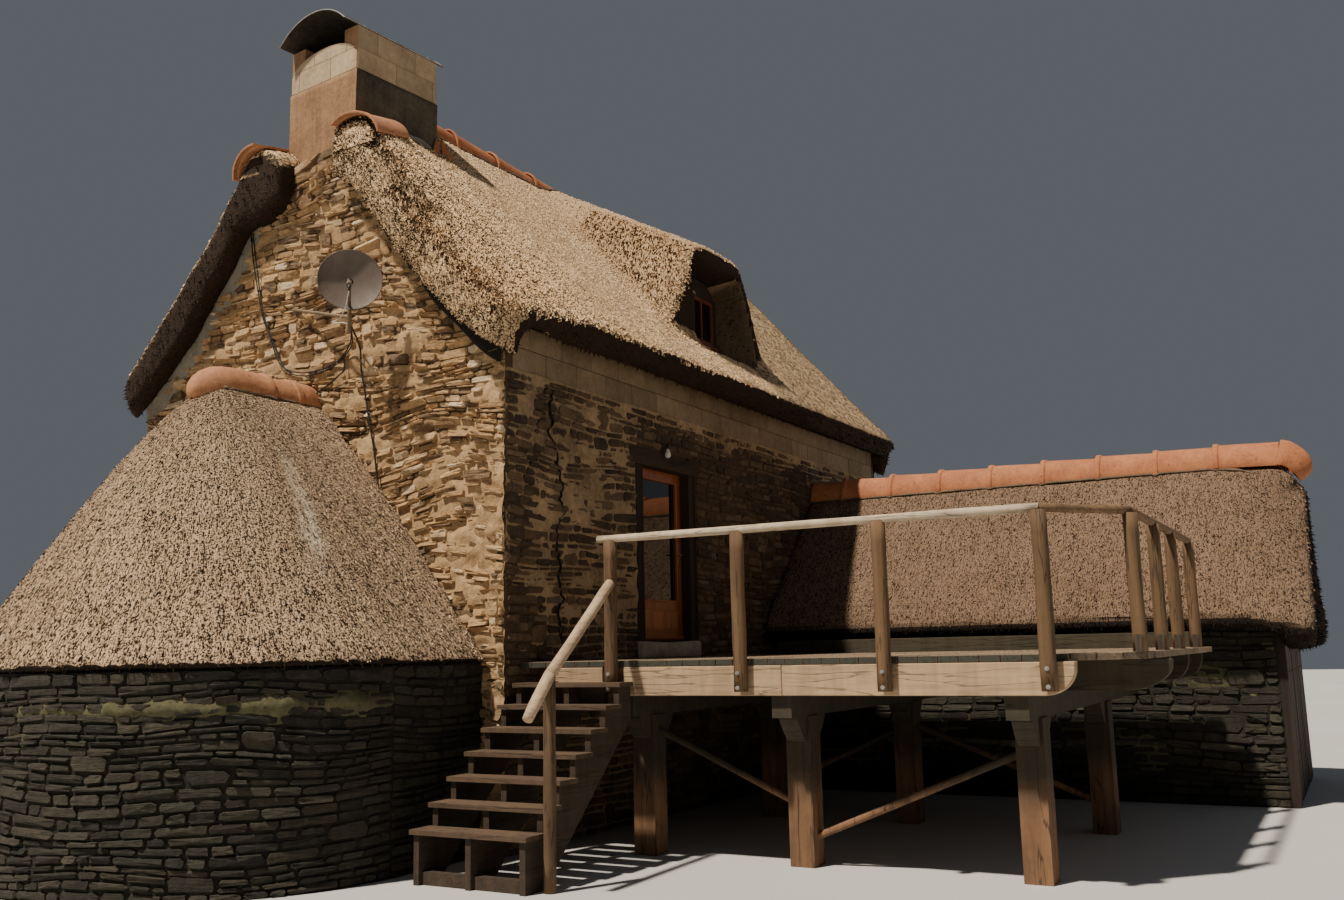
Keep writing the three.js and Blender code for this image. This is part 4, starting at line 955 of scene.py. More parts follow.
def make_stones(proud):
    for name, kind, top, (least, most), gap, wander, walls in STONE_SKINS:
        heap = Heap()
        for wall, nodes, seed, high, long in walls:
            rubble(heap, wall, 0.0, top, nodes, seed, high, long, (least, most * proud), gap, wander)
        heap.make(name, finish(kind))
    heap = Heap()
    for wall, nodes, seed, high, long, gap, wander in WING_STONES:
        rubble(heap, wall, 0.0, 2.3, nodes, seed, high, long, (0.006, 0.028 * proud), gap, wander)
    # The wing's stones take the darker copy, as painted shade
    heap.make("wing_stones", finish("dark_schist"))


# Thatch
SOFT_THATCH = {}


def mesh_points(piece):
    """The corner points of a piece as an array."""
    flat = np.empty(len(piece.data.vertices) * 3)
    piece.data.vertices.foreach_get("co", flat)
    return flat.reshape(-1, 3)


def under_verge_tile(middle, foot, half, height, way):
    """Rows of points round the straw that fills a verge tile and the slope below it."""
    rows = []
    for x, reach, rise, swell in ((-0.535, 0.12, 0.007, 1.0), (-0.48, 0.24, 0.02, 1.0),
                                  (-0.3, 0.3, 0.055, 1.0), (-0.1, 0.3, 0.07, 0.9),
                                  (0.14, 0.3, -0.08, 1.2), (0.5, 0.3, -0.12, 1.2)):
        z = foot + rise
        arc = [0.4 * k for k in range(8)]
        row = [(x, middle + way * half * math.cos(a), z + swell * height * math.sin(a)) for a in arc]
        row.append((x, middle - way * half, z - 0.3))
        row.append((x, middle, z - 0.5))
        row.append((x, middle + way * (half + reach * 0.6), z - 0.5 + 0.1 * reach))
        row.append((x, middle + way * (half + reach * 2), z - 0.04 - reach * 2.75))
        row.append((x, middle + way * (half + reach * 0.8), z - 0.04 - reach * 0.9))
        rows.append(row)
    return rows


def under_ridge_end():
    """Rows of points round the straw that carries the last tiles of the wing's ridge."""
    rows = []
    for y, top, foot, wide in ((-7.0, 3.5, 3.28, 0.34), (-7.6, 3.5, 3.27, 0.34), (-7.9, 3.5, 3.24, 0.34),
                               (-8.03, 3.48, 3.18, 0.32), (-8.1, 3.43, 3.1, 0.28), (-8.14, 3.36, 3.05, 0.22)):
        across = ((-wide, foot), (-0.185, top), (0.185, top), (wide, foot))
        rows.append([(WING_RIDGE_X + dx, y, z) for dx, z in across])
    return rows


def soften_thatch(node, name, kind, cell, rounds, tiles, fills=()):
    """A copy of a thatched roof whose edges are rolled over, in place of the sharp solid.

    Close to the tiles the copy keeps the solid's own shape, so that they still lie on straw.
    """
    source = NODES[node].data
    corners = [tuple(v.co) for v in source.vertices]
    faces = [tuple(p.vertices) for p in source.polygons]
    for rows in fills:
        first, wide = len(corners), len(rows[0])
        corners.extend(p for row in rows for p in row)
        faces.extend(band_faces(len(rows), wide, first))
        faces.append(tuple(first + k for k in range(wide))[::-1])
        faces.append(tuple(first + (len(rows) - 1) * wide + k for k in range(wide)))
    piece = solid(name, corners, faces, finish(kind), "cottage", True)
    grid = piece.modifiers.new("grid", "REMESH")
    grid.mode = "VOXEL"
    grid.voxel_size = cell
    grid.use_smooth_shade = True
    apply_modifiers(piece)
    crisp = mesh_points(piece)
    soft = piece.modifiers.new("soft", "SMOOTH")
    soft.factor = 0.5
    soft.iterations = rounds
    apply_modifiers(piece)
    rolled = mesh_points(piece)
    away = np.full(len(crisp), 9.0)
    for tile in tiles:
        low, high = (np.array(corner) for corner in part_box(tile))
        outside = np.maximum(np.maximum(low - crisp, crisp - high), 0)
        away = np.minimum(away, np.linalg.norm(outside, axis=1))
    kept = 0.8 * np.clip(1 - (away - 0.04) / 0.26, 0, 1)[:, None]
    piece.data.vertices.foreach_set("co", (rolled + (crisp - rolled) * kept).ravel())
    thin = piece.modifiers.new("thin", "DECIMATE")
    thin.ratio = 0.4
    apply_modifiers(piece)
    points = [v.co + v.normal * 0.012 * noise.noise(v.co * 3.5) for v in piece.data.vertices]
    piece.data.vertices.foreach_set("co", [c for p in points for c in p])
    piece.data.update()
    piece.data.polygons.foreach_set("use_smooth", [True] * len(piece.data.polygons))
    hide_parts(node)
    SOFT_THATCH[node] = piece


def surface_of(node):
    """The triangles of a softened roof as arrays: corner points, unit normals and areas."""
    mesh = SOFT_THATCH[node].data
    mesh.calc_loop_triangles()
    points = np.array([v.co for v in mesh.vertices], float)
    corners = points[np.array([t.vertices for t in mesh.loop_triangles], int)]
    across = np.cross(corners[:, 1] - corners[:, 0], corners[:, 2] - corners[:, 0])
    size = np.linalg.norm(across, axis=1)
    return corners, across / np.maximum(size, 1e-12)[:, None], size / 2


def scatter(node, keep, count, rng):
    """Points spread evenly by area over the triangles that keep picks, with their normals."""
    corners, normals, areas = surface_of(node)
    chosen = keep(corners.mean(1), normals)
    weights = np.where(chosen, areas, 0)
    pick = rng.choice(len(areas), size=count, p=weights / weights.sum())
    a, b = rng.random(count), rng.random(count)
    fold = a + b > 1
    a[fold], b[fold] = 1 - a[fold], 1 - b[fold]
    c = corners[pick]
    points = c[:, 0] + a[:, None] * (c[:, 1] - c[:, 0]) + b[:, None] * (c[:, 2] - c[:, 0])
    return points, normals[pick]


SLIVER = [(0, 2, 1), (0, 1, 3), (0, 3, 2), (1, 2, 3)]


def straw(heap, node, keep, count, seed, length, width, lift, spread=0.3, sink=0.006):
    """Slivers of straw that lie down the slope, tail in the thatch and tip lifted."""
    rng = np.random.default_rng(seed)
    points, normals = scatter(node, keep, count, rng)
    down = np.array([0.0, 0.0, -1.0]) + normals * normals[:, 2:3]
    down /= np.maximum(np.linalg.norm(down, axis=1), 1e-9)[:, None]
    side = np.cross(normals, down)
    a = rng.normal(0, spread, count)[:, None]
    run = down * np.cos(a) + side * np.sin(a)
    across = np.cross(normals, run)
    l = rng.uniform(*length, count)[:, None]
    w = rng.uniform(*width, count)[:, None]
    h = rng.uniform(*lift, count)[:, None]
    tail = points - run * l * 0.6 - normals * sink
    left = points + run * l * 0.4 - across * w / 2 - normals * sink * 0.6
    right = points + run * l * 0.4 + across * w / 2 - normals * sink * 0.6
    tip = points + run * l * 0.4 + normals * h
    tone = np.clip(rng.normal(0.5, 0.24, count), 0, 1)
    heap.add_arrays(np.stack([tail, left, right, tip], 1), SLIVER, tone)


def straw_ends(heap, node, keep, count, seed, reach, thick, droop=0.35):
    """Cut straw ends that stick out of the ragged eave."""
    rng = np.random.default_rng(seed)
    points, normals = scatter(node, keep, count, rng)
    out = normals + np.array([0.0, 0.0, -droop]) + rng.normal(0, 0.25, (count, 3))
    out /= np.linalg.norm(out, axis=1)[:, None]
    first = np.cross(out, rng.normal(0, 1, (count, 3)))
    first /= np.linalg.norm(first, axis=1)[:, None]
    second = np.cross(out, first)
    r = rng.uniform(*thick, count)[:, None]
    l = rng.uniform(*reach, count)[:, None]
    base = points - normals * 0.01
    rings = [base + r * (first * math.cos(a) + second * math.sin(a)) for a in (0, 2.094, 4.189)]
    tip = points + out * l
    tone = np.clip(rng.normal(0.4, 0.25, count), 0, 1)
    heap.add_arrays(np.stack([tip, rings[1], rings[0], rings[2]], 1), SLIVER, tone)


def lies_up(p, n):
    return n[:, 2] > 0.15


def main_front(p, n):
    return lies_up(p, n) & (p[:, 1] < 0.0)


def on_near_edge(p, n):
    """Where the straw tips stand up coarse: by the near verge and on the hood's near flank."""
    verge = p[:, 0] < 0.9
    flank = (p[:, 0] > 2.5) & (p[:, 0] < 3.4) & (p[:, 1] < -0.9) & (p[:, 2] > 5.0)
    return main_front(p, n) & (verge | flank)


def on_verge_face(p, n):
    return (n[:, 0] < -0.5) & (p[:, 0] < -0.32) & (p[:, 1] < 0)


def main_underside(p, n):
    rear_verge = (p[:, 0] < -0.32) & (p[:, 1] > 0)
    return (n[:, 2] < 0.15) & ((abs(p[:, 1]) > 2.4) | (p[:, 0] > 8.86) | rear_verge)


def wing_underside(p, n):
    return (n[:, 2] < 0.1) & ((p[:, 0] < 4.95) | (p[:, 0] > 8.05) | (p[:, 1] < -7.98))


# Pieces of loose straw: name, finish, and then for each layer on the roof its maker, its roof, the part of
# the roof it lies on, the number of straws, the seed and the maker's sizes
STRAW_PIECES = [
    ("main_straw_front_near", "pale_thatch", [
        (straw, "main_thatch", lambda p, n: main_front(p, n) & (p[:, 0] < 3.4), 17000, 51,
         (0.04, 0.1), (0.008, 0.015), (0.004, 0.012))]),
    ("main_straw_front_far", "pale_thatch", [
        (straw, "main_thatch", lambda p, n: main_front(p, n) & (p[:, 0] >= 3.4), 10000, 54,
         (0.04, 0.1), (0.008, 0.015), (0.004, 0.012))]),
    ("main_straw_back", "pale_thatch", [
        (straw, "main_thatch", lambda p, n: lies_up(p, n) & (p[:, 1] >= 0.0), 9000, 52,
         (0.04, 0.1), (0.008, 0.015), (0.004, 0.012))]),
    ("main_verge_straw", "pale_thatch", [
        (straw, "main_thatch", on_near_edge, 13000, 151, (0.03, 0.075), (0.006, 0.011), (0.012, 0.026)),
        (straw_ends, "main_thatch", on_verge_face, 8000, 152, (0.008, 0.03), (0.005, 0.009), 0.2)]),
    # The straw ends under the eaves take the darker cut straw, which also paints their shade
    ("main_eave_straw", "cut_straw", [
        (straw_ends, "main_thatch", main_underside, 7500, 53, (0.012, 0.05), (0.005, 0.012))]),
    ("leanto_straw", "leanto_thatch", [
        (straw, "leanto_thatch", lies_up, 14000, 61, (0.03, 0.065), (0.006, 0.012), (0.004, 0.011), 0.2)]),
    ("leanto_eave_straw", "cut_straw", [
        (straw_ends, "leanto_thatch", lambda p, n: (n[:, 2] < 0.1) & (p[:, 2] < 2.2), 4500, 62,
         (0.01, 0.045), (0.005, 0.011))]),
    ("wing_straw", "brown_thatch", [
        (straw, "wing_thatch", lies_up, 10000, 63, (0.035, 0.08), (0.008, 0.015), (0.006, 0.016))]),
    ("wing_eave_straw", "cut_straw", [
        (straw_ends, "wing_thatch", wing_underside, 4500, 64, (0.01, 0.05), (0.005, 0.011))]),
]


def make_straw(density):
    for name, kind, layers in STRAW_PIECES:
        heap = Heap()
        for maker, roof, keep, count, seed, *sizes in layers:
            maker(heap, roof, keep, int(count * density), seed, *sizes)
        heap.make(name, finish(kind))


# Deck
def deck_left_at(y):
    """Where the deck's left edge runs at y: it is cut off at the front corner."""
    if y > DECK_CORNER_Y:
        return DECK_LEFT
    t = (DECK_CORNER_Y - y) / (DECK_CORNER_Y - DECK_FRONT)
    return DECK_LEFT + (DECK_CORNER_X - DECK_LEFT) * t


def make_deck_boards(pitch, gap):
    rng = random.Random(71)
    heap = Heap()
    screws = Heap()
    y = DECK_FRONT
    row = 0
    while y < -HALF_WIDTH - 0.03:
        y1 = min(y + pitch - gap, -HALF_WIDTH - 0.002)
        joint = (2.15 if row % 2 else 3.35) + rng.uniform(-0.004, 0.004)
        for start, end in ((None, joint - 0.002), (joint + 0.002, DECK_RIGHT - 0.062)):
            x0 = deck_left_at(y) if start is None else start
            x1 = deck_left_at(y1) if start is None else start
            own = Heap()
            block(own, (0, y, DECK_TOP - DECK_THICK), (1, y1, DECK_TOP - rng.uniform(0, 0.002)), 0.003)
            verts = []
            for px, py, pz in own.verts:
                left = x0 + (x1 - x0) * ((py - y) / (y1 - y))
                verts.append((left + px if px < 0.5 else end - (1 - px), py, pz))
            heap.add(verts, own.faces, rng.random())
        for joist in (0.3, 0.75, 1.45, 2.11, 2.19, 2.75, 3.31, 3.39, 3.9, 4.4):
            for py in (y + 0.03, y1 - 0.03):
                if joist > deck_left_at(py) + 0.05:
                    ends = [(joist, py, DECK_TOP - 0.01), (joist, py, DECK_TOP + 0.0015)]
                    tube(screws, ends, 0.005, 6, rng.random())
        y += pitch
        row += 1
    kerb = Heap()
    low = (DECK_RIGHT - 0.06, DECK_FRONT + 0.2, DECK_TOP - 0.005)
    block(kerb, low, (DECK_RIGHT, -HALF_WIDTH - 0.3, DECK_TOP + 0.15), 0.004, 0.4)
    edge = kerb.make("deck_kerb", finish("shaded_beam"))
    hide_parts("deck_floor")
    boards = heap.make("deck_boards", finish("deck_along"))
    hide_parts("deck_floor")
    screws.make("deck_screws", finish("galvanised"))


def make_deck_rail(wobble):
    rng = random.Random(72)
    corner = (RAIL_X, DECK_CORNER_Y, RAIL_Z)
    elbow = (DECK_CORNER_X + 0.02, RAIL_Y, RAIL_Z)
    poles = Heap()
    tube(poles, along((RAIL_X, -3.215, RAIL_Z), corner, 14), 0.032, 10, 0.7, wobble, 1)
    rail = poles.make("deck_rail_poles", finish("bleached_pole"), smooth=True)
    # The corner and end runs take the browner copy of the rail wood, as painted shade
    brown = Heap()
    tube(brown, along(corner, elbow, 6), 0.031, 10, 0.45, wobble, 2)
    tube(brown, along(elbow, (3.75, RAIL_Y, RAIL_Z), 14), 0.032, 10, 0.4, wobble, 3)
    end_rail = brown.make("deck_end_rail_poles", finish("brown_rail_x"), smooth=True)
    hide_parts("deck_rail")
    posts = Heap()
    for i, y in enumerate(SIDE_POSTS):
        line = along((RAIL_X, y, 1.32), (RAIL_X, y, 2.538), 9)
        tube(posts, line, 0.055, 12, rng.random(), wobble * 1.4, 10 + i)
    for i, x in enumerate(END_POSTS):
        line = along((x, RAIL_Y, DECK_TOP), (x, RAIL_Y, 2.536), 9)
        tube(posts, line, 0.05, 12, rng.random(), wobble * 1.4, 20 + i)
    stems = posts.make("deck_rail_posts", finish("brown_pole"), smooth=True)
    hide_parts("deck_rail")
    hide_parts("deck_rail")


# Coats of mortar
def mortar_skin(name, wall, low, high, nodes, cell, height, material):
    """A trowelled coat over the stones. Where height(s, z), its thickness, is negative, the wall shows."""
    at, length = wall
    tree = bvh_of(*nodes)
    columns = int(length / cell) + 1
    rows = int((high - low) / cell) + 1
    verts = []
    shown = []
    for j in range(rows + 1):
        z = low + (high - low) * j / rows
        probe_z = min(max(z, low + 0.004), high - 0.004)
        for i in range(columns + 1):
            s = length * i / columns
            x, y, nx, ny = at(s)
            px, py, _, _ = at(min(max(s, 0.004), length - 0.004))
            probe = Vector((px + nx * 0.08, py + ny * 0.08, probe_z))
            hit = tree.ray_cast(probe, Vector((-nx, -ny, 0)), 0.13)
            h = height(s, z) if hit[0] is not None else -0.01
            shown.append(h > 0)
            h = max(h, -0.01)
            verts.append((x + nx * h, y + ny * h, z))
    wide = columns + 1
    faces = [ring for ring in sheet_faces(rows, columns) if any(shown[k] for k in ring)]
    used = sorted({k for f in faces for k in f})
    place = {k: i for i, k in enumerate(used)}
    p, q, r = (Vector(verts[k]) for k in (0, 1, wide))
    x, y, nx, ny = at(0.0)
    flip = (q - p).cross(r - p).dot(Vector((nx, ny, 0))) < 0
    faces = [tuple(place[k] for k in (f[::-1] if flip else f)) for f in faces]
    points = [verts[k] for k in used]
    solid(name, points, faces, finish(material), "cottage", True, [0.5] * len(used))


def lumps(s, z, scale, seed):
    return noise.noise(Vector((s * scale, z * scale, seed * 5.3)))


def make_front_mortar():
    """Lime between the gable's stones, over the wall left of the door and in a band under the blocks."""
    def left_coat(s, z):
        x = s + GABLE_FACE
        if x > 1.9:
            return -0.01
        h = 0.008 + 0.021 * lumps(s, z * 1.9, 2.6, 1) + 0.013 * lumps(s, z * 1.6, 9.0, 2)
        if z < 2.1:
            h -= 0.014 * (2.1 - z) / 0.5
        if x < 0.1:
            h -= 0.012 * (0.1 - x) / 0.4
        if x > 0.95 and 2.0 < z < 3.1:
            h += 0.007
        return h

    def band(s, z):
        if s + GABLE_FACE < 1.9 or z < 3.72:
            return -0.01
        broad, fine = lumps(s, z * 1.5, 4.0, 3), lumps(s, z, 14.0, 4)
        return -0.012 + 0.03 * (z - 3.8) / 0.3 + 0.02 * broad + 0.01 * fine

    def flush(s, z):
        y = HALF_WIDTH - s
        low = max(min((-0.6 - y) / 0.9, (3.8 - z) / 0.8, 1.0), 0.0)
        uneven = 0.03 * lumps(s, z * 1.8, 2.6, 18)
        return 0.005 + 0.009 * low + uneven + 0.026 * lumps(s, z * 1.6, 9.0, 19)

    mortar_skin("gable_flush_mortar", GABLE, 0.2, 6.85, ["gable_wall"], 0.036, flush, "sunlit_mortar")
    mortar_skin("front_lime_coat", FRONT, 0.3, BLOCK_FOOT, FRONT_NODES, 0.028, left_coat, "lime_mortar")
    mortar_skin("front_lime_band", FRONT, 3.72, BLOCK_FOOT, FRONT_NODES, 0.03, band, "lime_mortar")


def make_crack():
    """The settlement crack left of the door, as a thin dark wedge on the face of the wall."""
    rng = random.Random(81)
    line = [(0.37, 3.99), (0.33, 3.86), (0.39, 3.74), (0.31, 3.62), (0.42, 3.48), (0.47, 3.3),
            (0.52, 3.16), (0.49, 3.02), (0.55, 2.9), (0.44, 2.78), (0.42, 2.6), (0.48, 2.44),
            (0.46, 2.28), (0.53, 2.12), (0.44, 1.98), (0.51, 1.86), (0.49, 1.7)]
    points = []
    for (x0, z0), (x1, z1) in zip(line, line[1:]):
        for k in range(4):
            x = x0 + (x1 - x0) * (k / 4) + rng.uniform(-0.022, 0.022)
            points.append((x, z0 + (z1 - z0) * (k / 4) + rng.uniform(-0.008, 0.008)))
    verts = []
    y = -HALF_WIDTH - 0.034
    for i, (x, z) in enumerate(points):
        w = 0.002 + 0.0042 * abs(math.sin(i * 1.9)) * (1.8 if i < 8 else 0.8)
        verts.extend([(x - w, y + 0.012, z), (x, y, z), (x + w, y + 0.012, z), (x, y + 0.05, z)])
    faces = band_faces(len(points), 4)
    solid("front_crack", verts, faces, finish("crack_shadow"), "cottage")


def make_low_mortar():
    """Pale mortar left in patches on the lean-to and the wing."""
    def strip(s, z):
        level = 0.044 * math.exp(-((z - 1.31) / 0.06) ** 2)
        return -0.024 + level + 0.04 * lumps(s, z * 2, 3.0, 5) + 0.022 * lumps(s, z, 12.0, 6)

    def patches(s, z):
        return -0.008 + 0.03 * lumps(s, z * 1.8, 2.0, 7) + 0.008 * lumps(s, z, 12.0, 8)

    mortar_skin("leanto_lime_strip", LEANTO_ROUND, 0.9, 1.56, ARC_NODES, 0.035, strip, "mossy_lime")
    mortar_skin("wing_lime_patches", WEST, 0.3, 1.6, ["wing_wall_west"], 0.045, patches, "mossy_lime")


# Outlines across the joint under a verge, as (share of the width down, share of the reach out)
# The front strip is painted shadow under the verge
VERGE_SHADOW_STRIP = [(1.0, -0.1), (0.9, 0.7), (0.6, 1.0), (0.1, 1.0), (-0.45, 1.0)]
MORTAR_FILLET = [(1.0, -0.1), (0.85, 0.35), (0.55, 0.6), (0.25, 0.85), (-0.15, 1.0)]


def make_verge_joint(name, x, way, side, wall, roof):
    """The joint between one gable and one slope: grey mortar at the back, and in front a dark strip of
    painted shadow under the verge.
    """
    front = side < 0
    rows = []
    for i in range(60):
        y = side * (0.56 + (HALF_WIDTH - 0.57) * i / 59)
        hit = roof.ray_cast(Vector((x + way * 0.05, y, 3.2)), Vector((0, 0, 1)), 5)
        if hit[0] is None:
            continue
        below = Vector((x + way * 0.1, y, hit[0].z - 0.05))
        if wall.ray_cast(below, Vector((-way, 0, 0)), 0.2)[0] is not None:
            rows.append((y, hit[0].z))
    shape = VERGE_SHADOW_STRIP if front else MORTAR_FILLET
    verts = []
    for y, top in rows:
        wide = (0.15 if front else 0.21) + 0.05 * lumps(y, top, 2.5, 9)
        out = (0.055 if front else 0.045) + 0.02 * lumps(y, top, 3.0, 10)
        for drop, reach in shape:
            rough = 0.01 * lumps(y * 4, drop * 3 + top, 4.0, 11)
            verts.append((x + way * (out * reach + (rough if drop < 0.9 else 0)), y, top - wide * drop))
    n = len(shape)
    faces = []
    for i in range(len(rows) - 1):
        for a in range(i * n, i * n + n - 1):
            ring = (a, a + 1, a + n + 1, a + n)
            faces.append(ring if way * side > 0 else ring[::-1])
    # In front the dark strip paints the shadow under the verge
    kind = "crack_shadow" if front else "grey_fillet"
    solid(name + ("_front" if front else "_back"), verts, faces, finish(kind), "cottage", True)


def make_verge_mortar_and_shadow():
    for name, x, way, node in (("gable_verge_mortar_and_shadow", GABLE_FACE, -1, "gable_wall"),
                               ("far_verge_mortar_and_shadow", FAR_FACE, 1, "far_gable_wall")):
        wall, roof = bvh_of(node), bvh_of("main_thatch")
        for side in (-1, 1):
            make_verge_joint(name, x, way, side, wall, roof)


def make_block_courses():
    """The two courses of pale blocks under the eaves, each block with its own face."""
    for name, node, y, way, seed in (("front_blocks", "front_block_course", -HALF_WIDTH, -1, 82),
                                     ("back_blocks", "back_block_course", HALF_WIDTH, 1, 83)):
        rng = random.Random(seed)
        low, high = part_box(node)
        heap = Heap()
        for row, (z0, z1) in enumerate(((BLOCK_FOOT, BLOCK_MIDDLE), (BLOCK_MIDDLE, BLOCK_TOP))):
            x = low.x - (BLOCK_LONG / 2 if row else 0.0)
            while x < high.x - 0.02:
                a, b = max(x, low.x) + 0.004, min(x + BLOCK_LONG, high.x) - 0.004
                if b - a > 0.03:
                    out = rng.uniform(0.005, 0.009)
                    ys = sorted((y - way * 0.02, y + way * out))
                    corners = (a, ys[0], z0 + 0.004), (b, ys[1], z1 - 0.004)
                    block(heap, *corners, 0.004, rng.random(), rng, 0.0012)
                x += BLOCK_LONG
        heap.make(name, finish("eave_block"))


# Chimney
CHIMNEY_CORNER = Vector((-0.3, -0.525, 0))
CHIMNEY_TURN = Matrix.Rotation(math.radians(-6.04), 3, "Z")
CHIMNEY_LONG = 1.053
CHIMNEY_WIDE = 1.02
CHIMNEY_MIDDLE = 0.51
COAT_FOOT = 6.5
COAT_TOP = 7.393
CHIMNEY_BEDS = (COAT_TOP + 0.006, 7.624, 7.856)
CAP_FOOT = 7.868
CAP_RISE = 0.215
CAP_RADIUS = (CHIMNEY_MIDDLE * CHIMNEY_MIDDLE + CAP_RISE * CAP_RISE) / (2 * CAP_RISE)
CAP_REACH = math.asin(CHIMNEY_MIDDLE / CAP_RADIUS)


def on_chimney(u, v, z):
    """A point u metres along the stack and v metres across it."""
    return CHIMNEY_CORNER + CHIMNEY_TURN @ Vector((u, v, 0)) + Vector((0, 0, z))


def set_on_chimney(heap, own, rng):
    """Moves blocks that were laid straight onto the turned stack."""
    heap.add([tuple(on_chimney(*p)) for p in own.verts], own.faces, rng.random())


def chimney_side(u0, v0, u1, v1, out_u, out_v):
    a, b = on_chimney(u0, v0, 0), on_chimney(u1, v1, 0)
    out = CHIMNEY_TURN @ Vector((out_u, out_v, 0))
    return straight_wall((a.x, a.y), (b.x, b.y), (out.x, out.y))


def make_chimney_coat():
    """Render on the four sides; the one to the south is darker and greyer, partly stain and partly painted
    shade.
    """
    sides = [
        chimney_side(0, CHIMNEY_WIDE, 0, 0, -1, 0),
        chimney_side(0, 0, CHIMNEY_LONG, 0, 0, -1),
        chimney_side(CHIMNEY_LONG, 0, CHIMNEY_LONG, CHIMNEY_WIDE, 1, 0),
        chimney_side(CHIMNEY_LONG, CHIMNEY_WIDE, 0, CHIMNEY_WIDE, 0, 1),
    ]
    columns, rows = 20, 18
    verts = []
    faces = []
    for k, (at, length) in enumerate(sides):
        faces.extend(sheet_faces(rows + 1, columns, len(verts)))
        for j in range(rows + 1):
            z = COAT_FOOT + (COAT_TOP + 0.01 * lumps(k, 0, 1, 2) - COAT_FOOT) * j / rows
            for i in range(columns + 1):
                s = length * i / columns
                x, y, nx, ny = at(s)
                h = 0.011 + 0.004 * lumps(s + k * 3, z, 3.0, 12) + 0.002 * lumps(s + k * 3, z, 12.0, 13)
                if i in (0, columns):
                    x, y, _, _ = at(s - (0.009 if i == 0 else -0.009))
                verts.append((x + nx * h, y + ny * h, z))
        for i in range(columns + 1):
            x, y, nx, ny = at(length * i / columns)
            verts.append((x - nx * 0.005, y - ny * 0.005, COAT_TOP + 0.004))
    south = range(len(verts) // 4, len(verts) // 2)
    lit = [f for f in faces if f[0] not in south]
    shade = [tuple(k - south.start for k in f) for f in faces if f[0] in south]
    solid("chimney_coat", verts, lit, finish("chimney_render"), "cottage", True)
    points = [verts[k] for k in south]
    solid("chimney_coat_shaded", points, shade, finish("stained_render"), "cottage", True)


def arched_block(v0, v1, row):
    """Outline of an end block, cut by the arch that the cap's sheet makes, or None where nothing is left."""
    steps = 8
    low, top = CHIMNEY_BEDS[row], CHIMNEY_BEDS[row + 1]
    ring = [(v0 + 0.003, low + 0.003), (v1 - 0.003, low + 0.003)]
    for k in range(steps + 1):
        v = v1 - 0.003 + (v0 - v1 + 0.006) * k / steps
        off = (v - CHIMNEY_MIDDLE) / CHIMNEY_MIDDLE
        arch = 7.56 + 0.205 * math.sqrt(max(0.0, 1 - off ** 2))
        ring.append((v, max(arch, low + 0.004) if row else min(arch, top - 0.003)))
    if row and max(z for _, z in ring) < low + 0.02:
        return None
    return ring


def make_chimney_blocks():
    rng = random.Random(84)
    heap = Heap()
    for v in ((-0.007, 0.02), (CHIMNEY_WIDE - 0.02, CHIMNEY_WIDE + 0.007)):
        for row in (0, 1):
            u = -BLOCK_LONG / 2 if row else 0.0
            while u < CHIMNEY_LONG - 0.02:
                a, b = max(u, 0.0) + 0.003, min(u + BLOCK_LONG, CHIMNEY_LONG) - 0.003
                if b - a > 0.02:
                    own = Heap()
                    low, high = (a, v[0], CHIMNEY_BEDS[row] + 0.003), (b, v[1], CHIMNEY_BEDS[row + 1] - 0.003)
                    block(own, low, high, 0.003, 0.5, rng, 0.001)
                    set_on_chimney(heap, own, rng)
                u += BLOCK_LONG
    for u0, u1 in ((-0.007, 0.02), (CHIMNEY_LONG - 0.02, CHIMNEY_LONG + 0.007)):
        for row, cuts in enumerate(((0.0, 0.4, 0.9, CHIMNEY_WIDE), (0.0, 0.16, 0.66, CHIMNEY_WIDE))):
            for v0, v1 in zip(cuts, cuts[1:]):
                ring = arched_block(v0, v1, row)
                if ring:
                    own = Heap()
                    n = len(ring)
                    shape = [tuple(range(n))[::-1], tuple(range(n, 2 * n))]
                    own.add([(u, v, z) for u in (u0, u1) for v, z in ring], shape + band_faces(2, n))
                    set_on_chimney(heap, own, rng)
    tidy_normals(heap.make("chimney_blocks", finish("pale_block")))


def on_cap(u, a, out=0.0):
    """A point on the cap's sheet, u along the stack and at angle a from its crown."""
    reach = CAP_RADIUS + out
    z = CAP_FOOT + CAP_RISE - CAP_RADIUS + reach * math.cos(a)
    return on_chimney(u, CHIMNEY_MIDDLE + reach * math.sin(a), z)


def make_cap_hem():
    # The hem's pale metal paints the highlight along the cap's lit rim
    hem = Heap()
    near, far = -0.168, CHIMNEY_LONG + 0.098
    for u in (near, far):
        tube(hem, [on_cap(u, a, -0.004) for a in np.linspace(-CAP_REACH, CAP_REACH, 25)], 0.0065, 8, 0.7)
    for way in (-1, 1):
        a = CAP_REACH * 0.985 * way
        tube(hem, [on_cap(near + 0.003, a), on_cap(far - 0.003, a)], 0.006, 8, 0.6)
    for u in (0.1, 0.5, 0.95):
        for way in (-0.93, 0.93):
            tube(hem, [on_cap(u, CAP_REACH * way), on_cap(u, CAP_REACH * way, 0.008)], 0.011, 6, 0.8)
    hem.make("chimney_cap_hem", finish("bright_edge"), smooth=False)


def tidy_normals(piece):
    """Turns every face of a piece outward."""
    mesh = bmesh.new()
    mesh.from_mesh(piece.data)
    bmesh.ops.recalc_face_normals(mesh, faces=mesh.faces)
    mesh.to_mesh(piece.data)
    mesh.free()


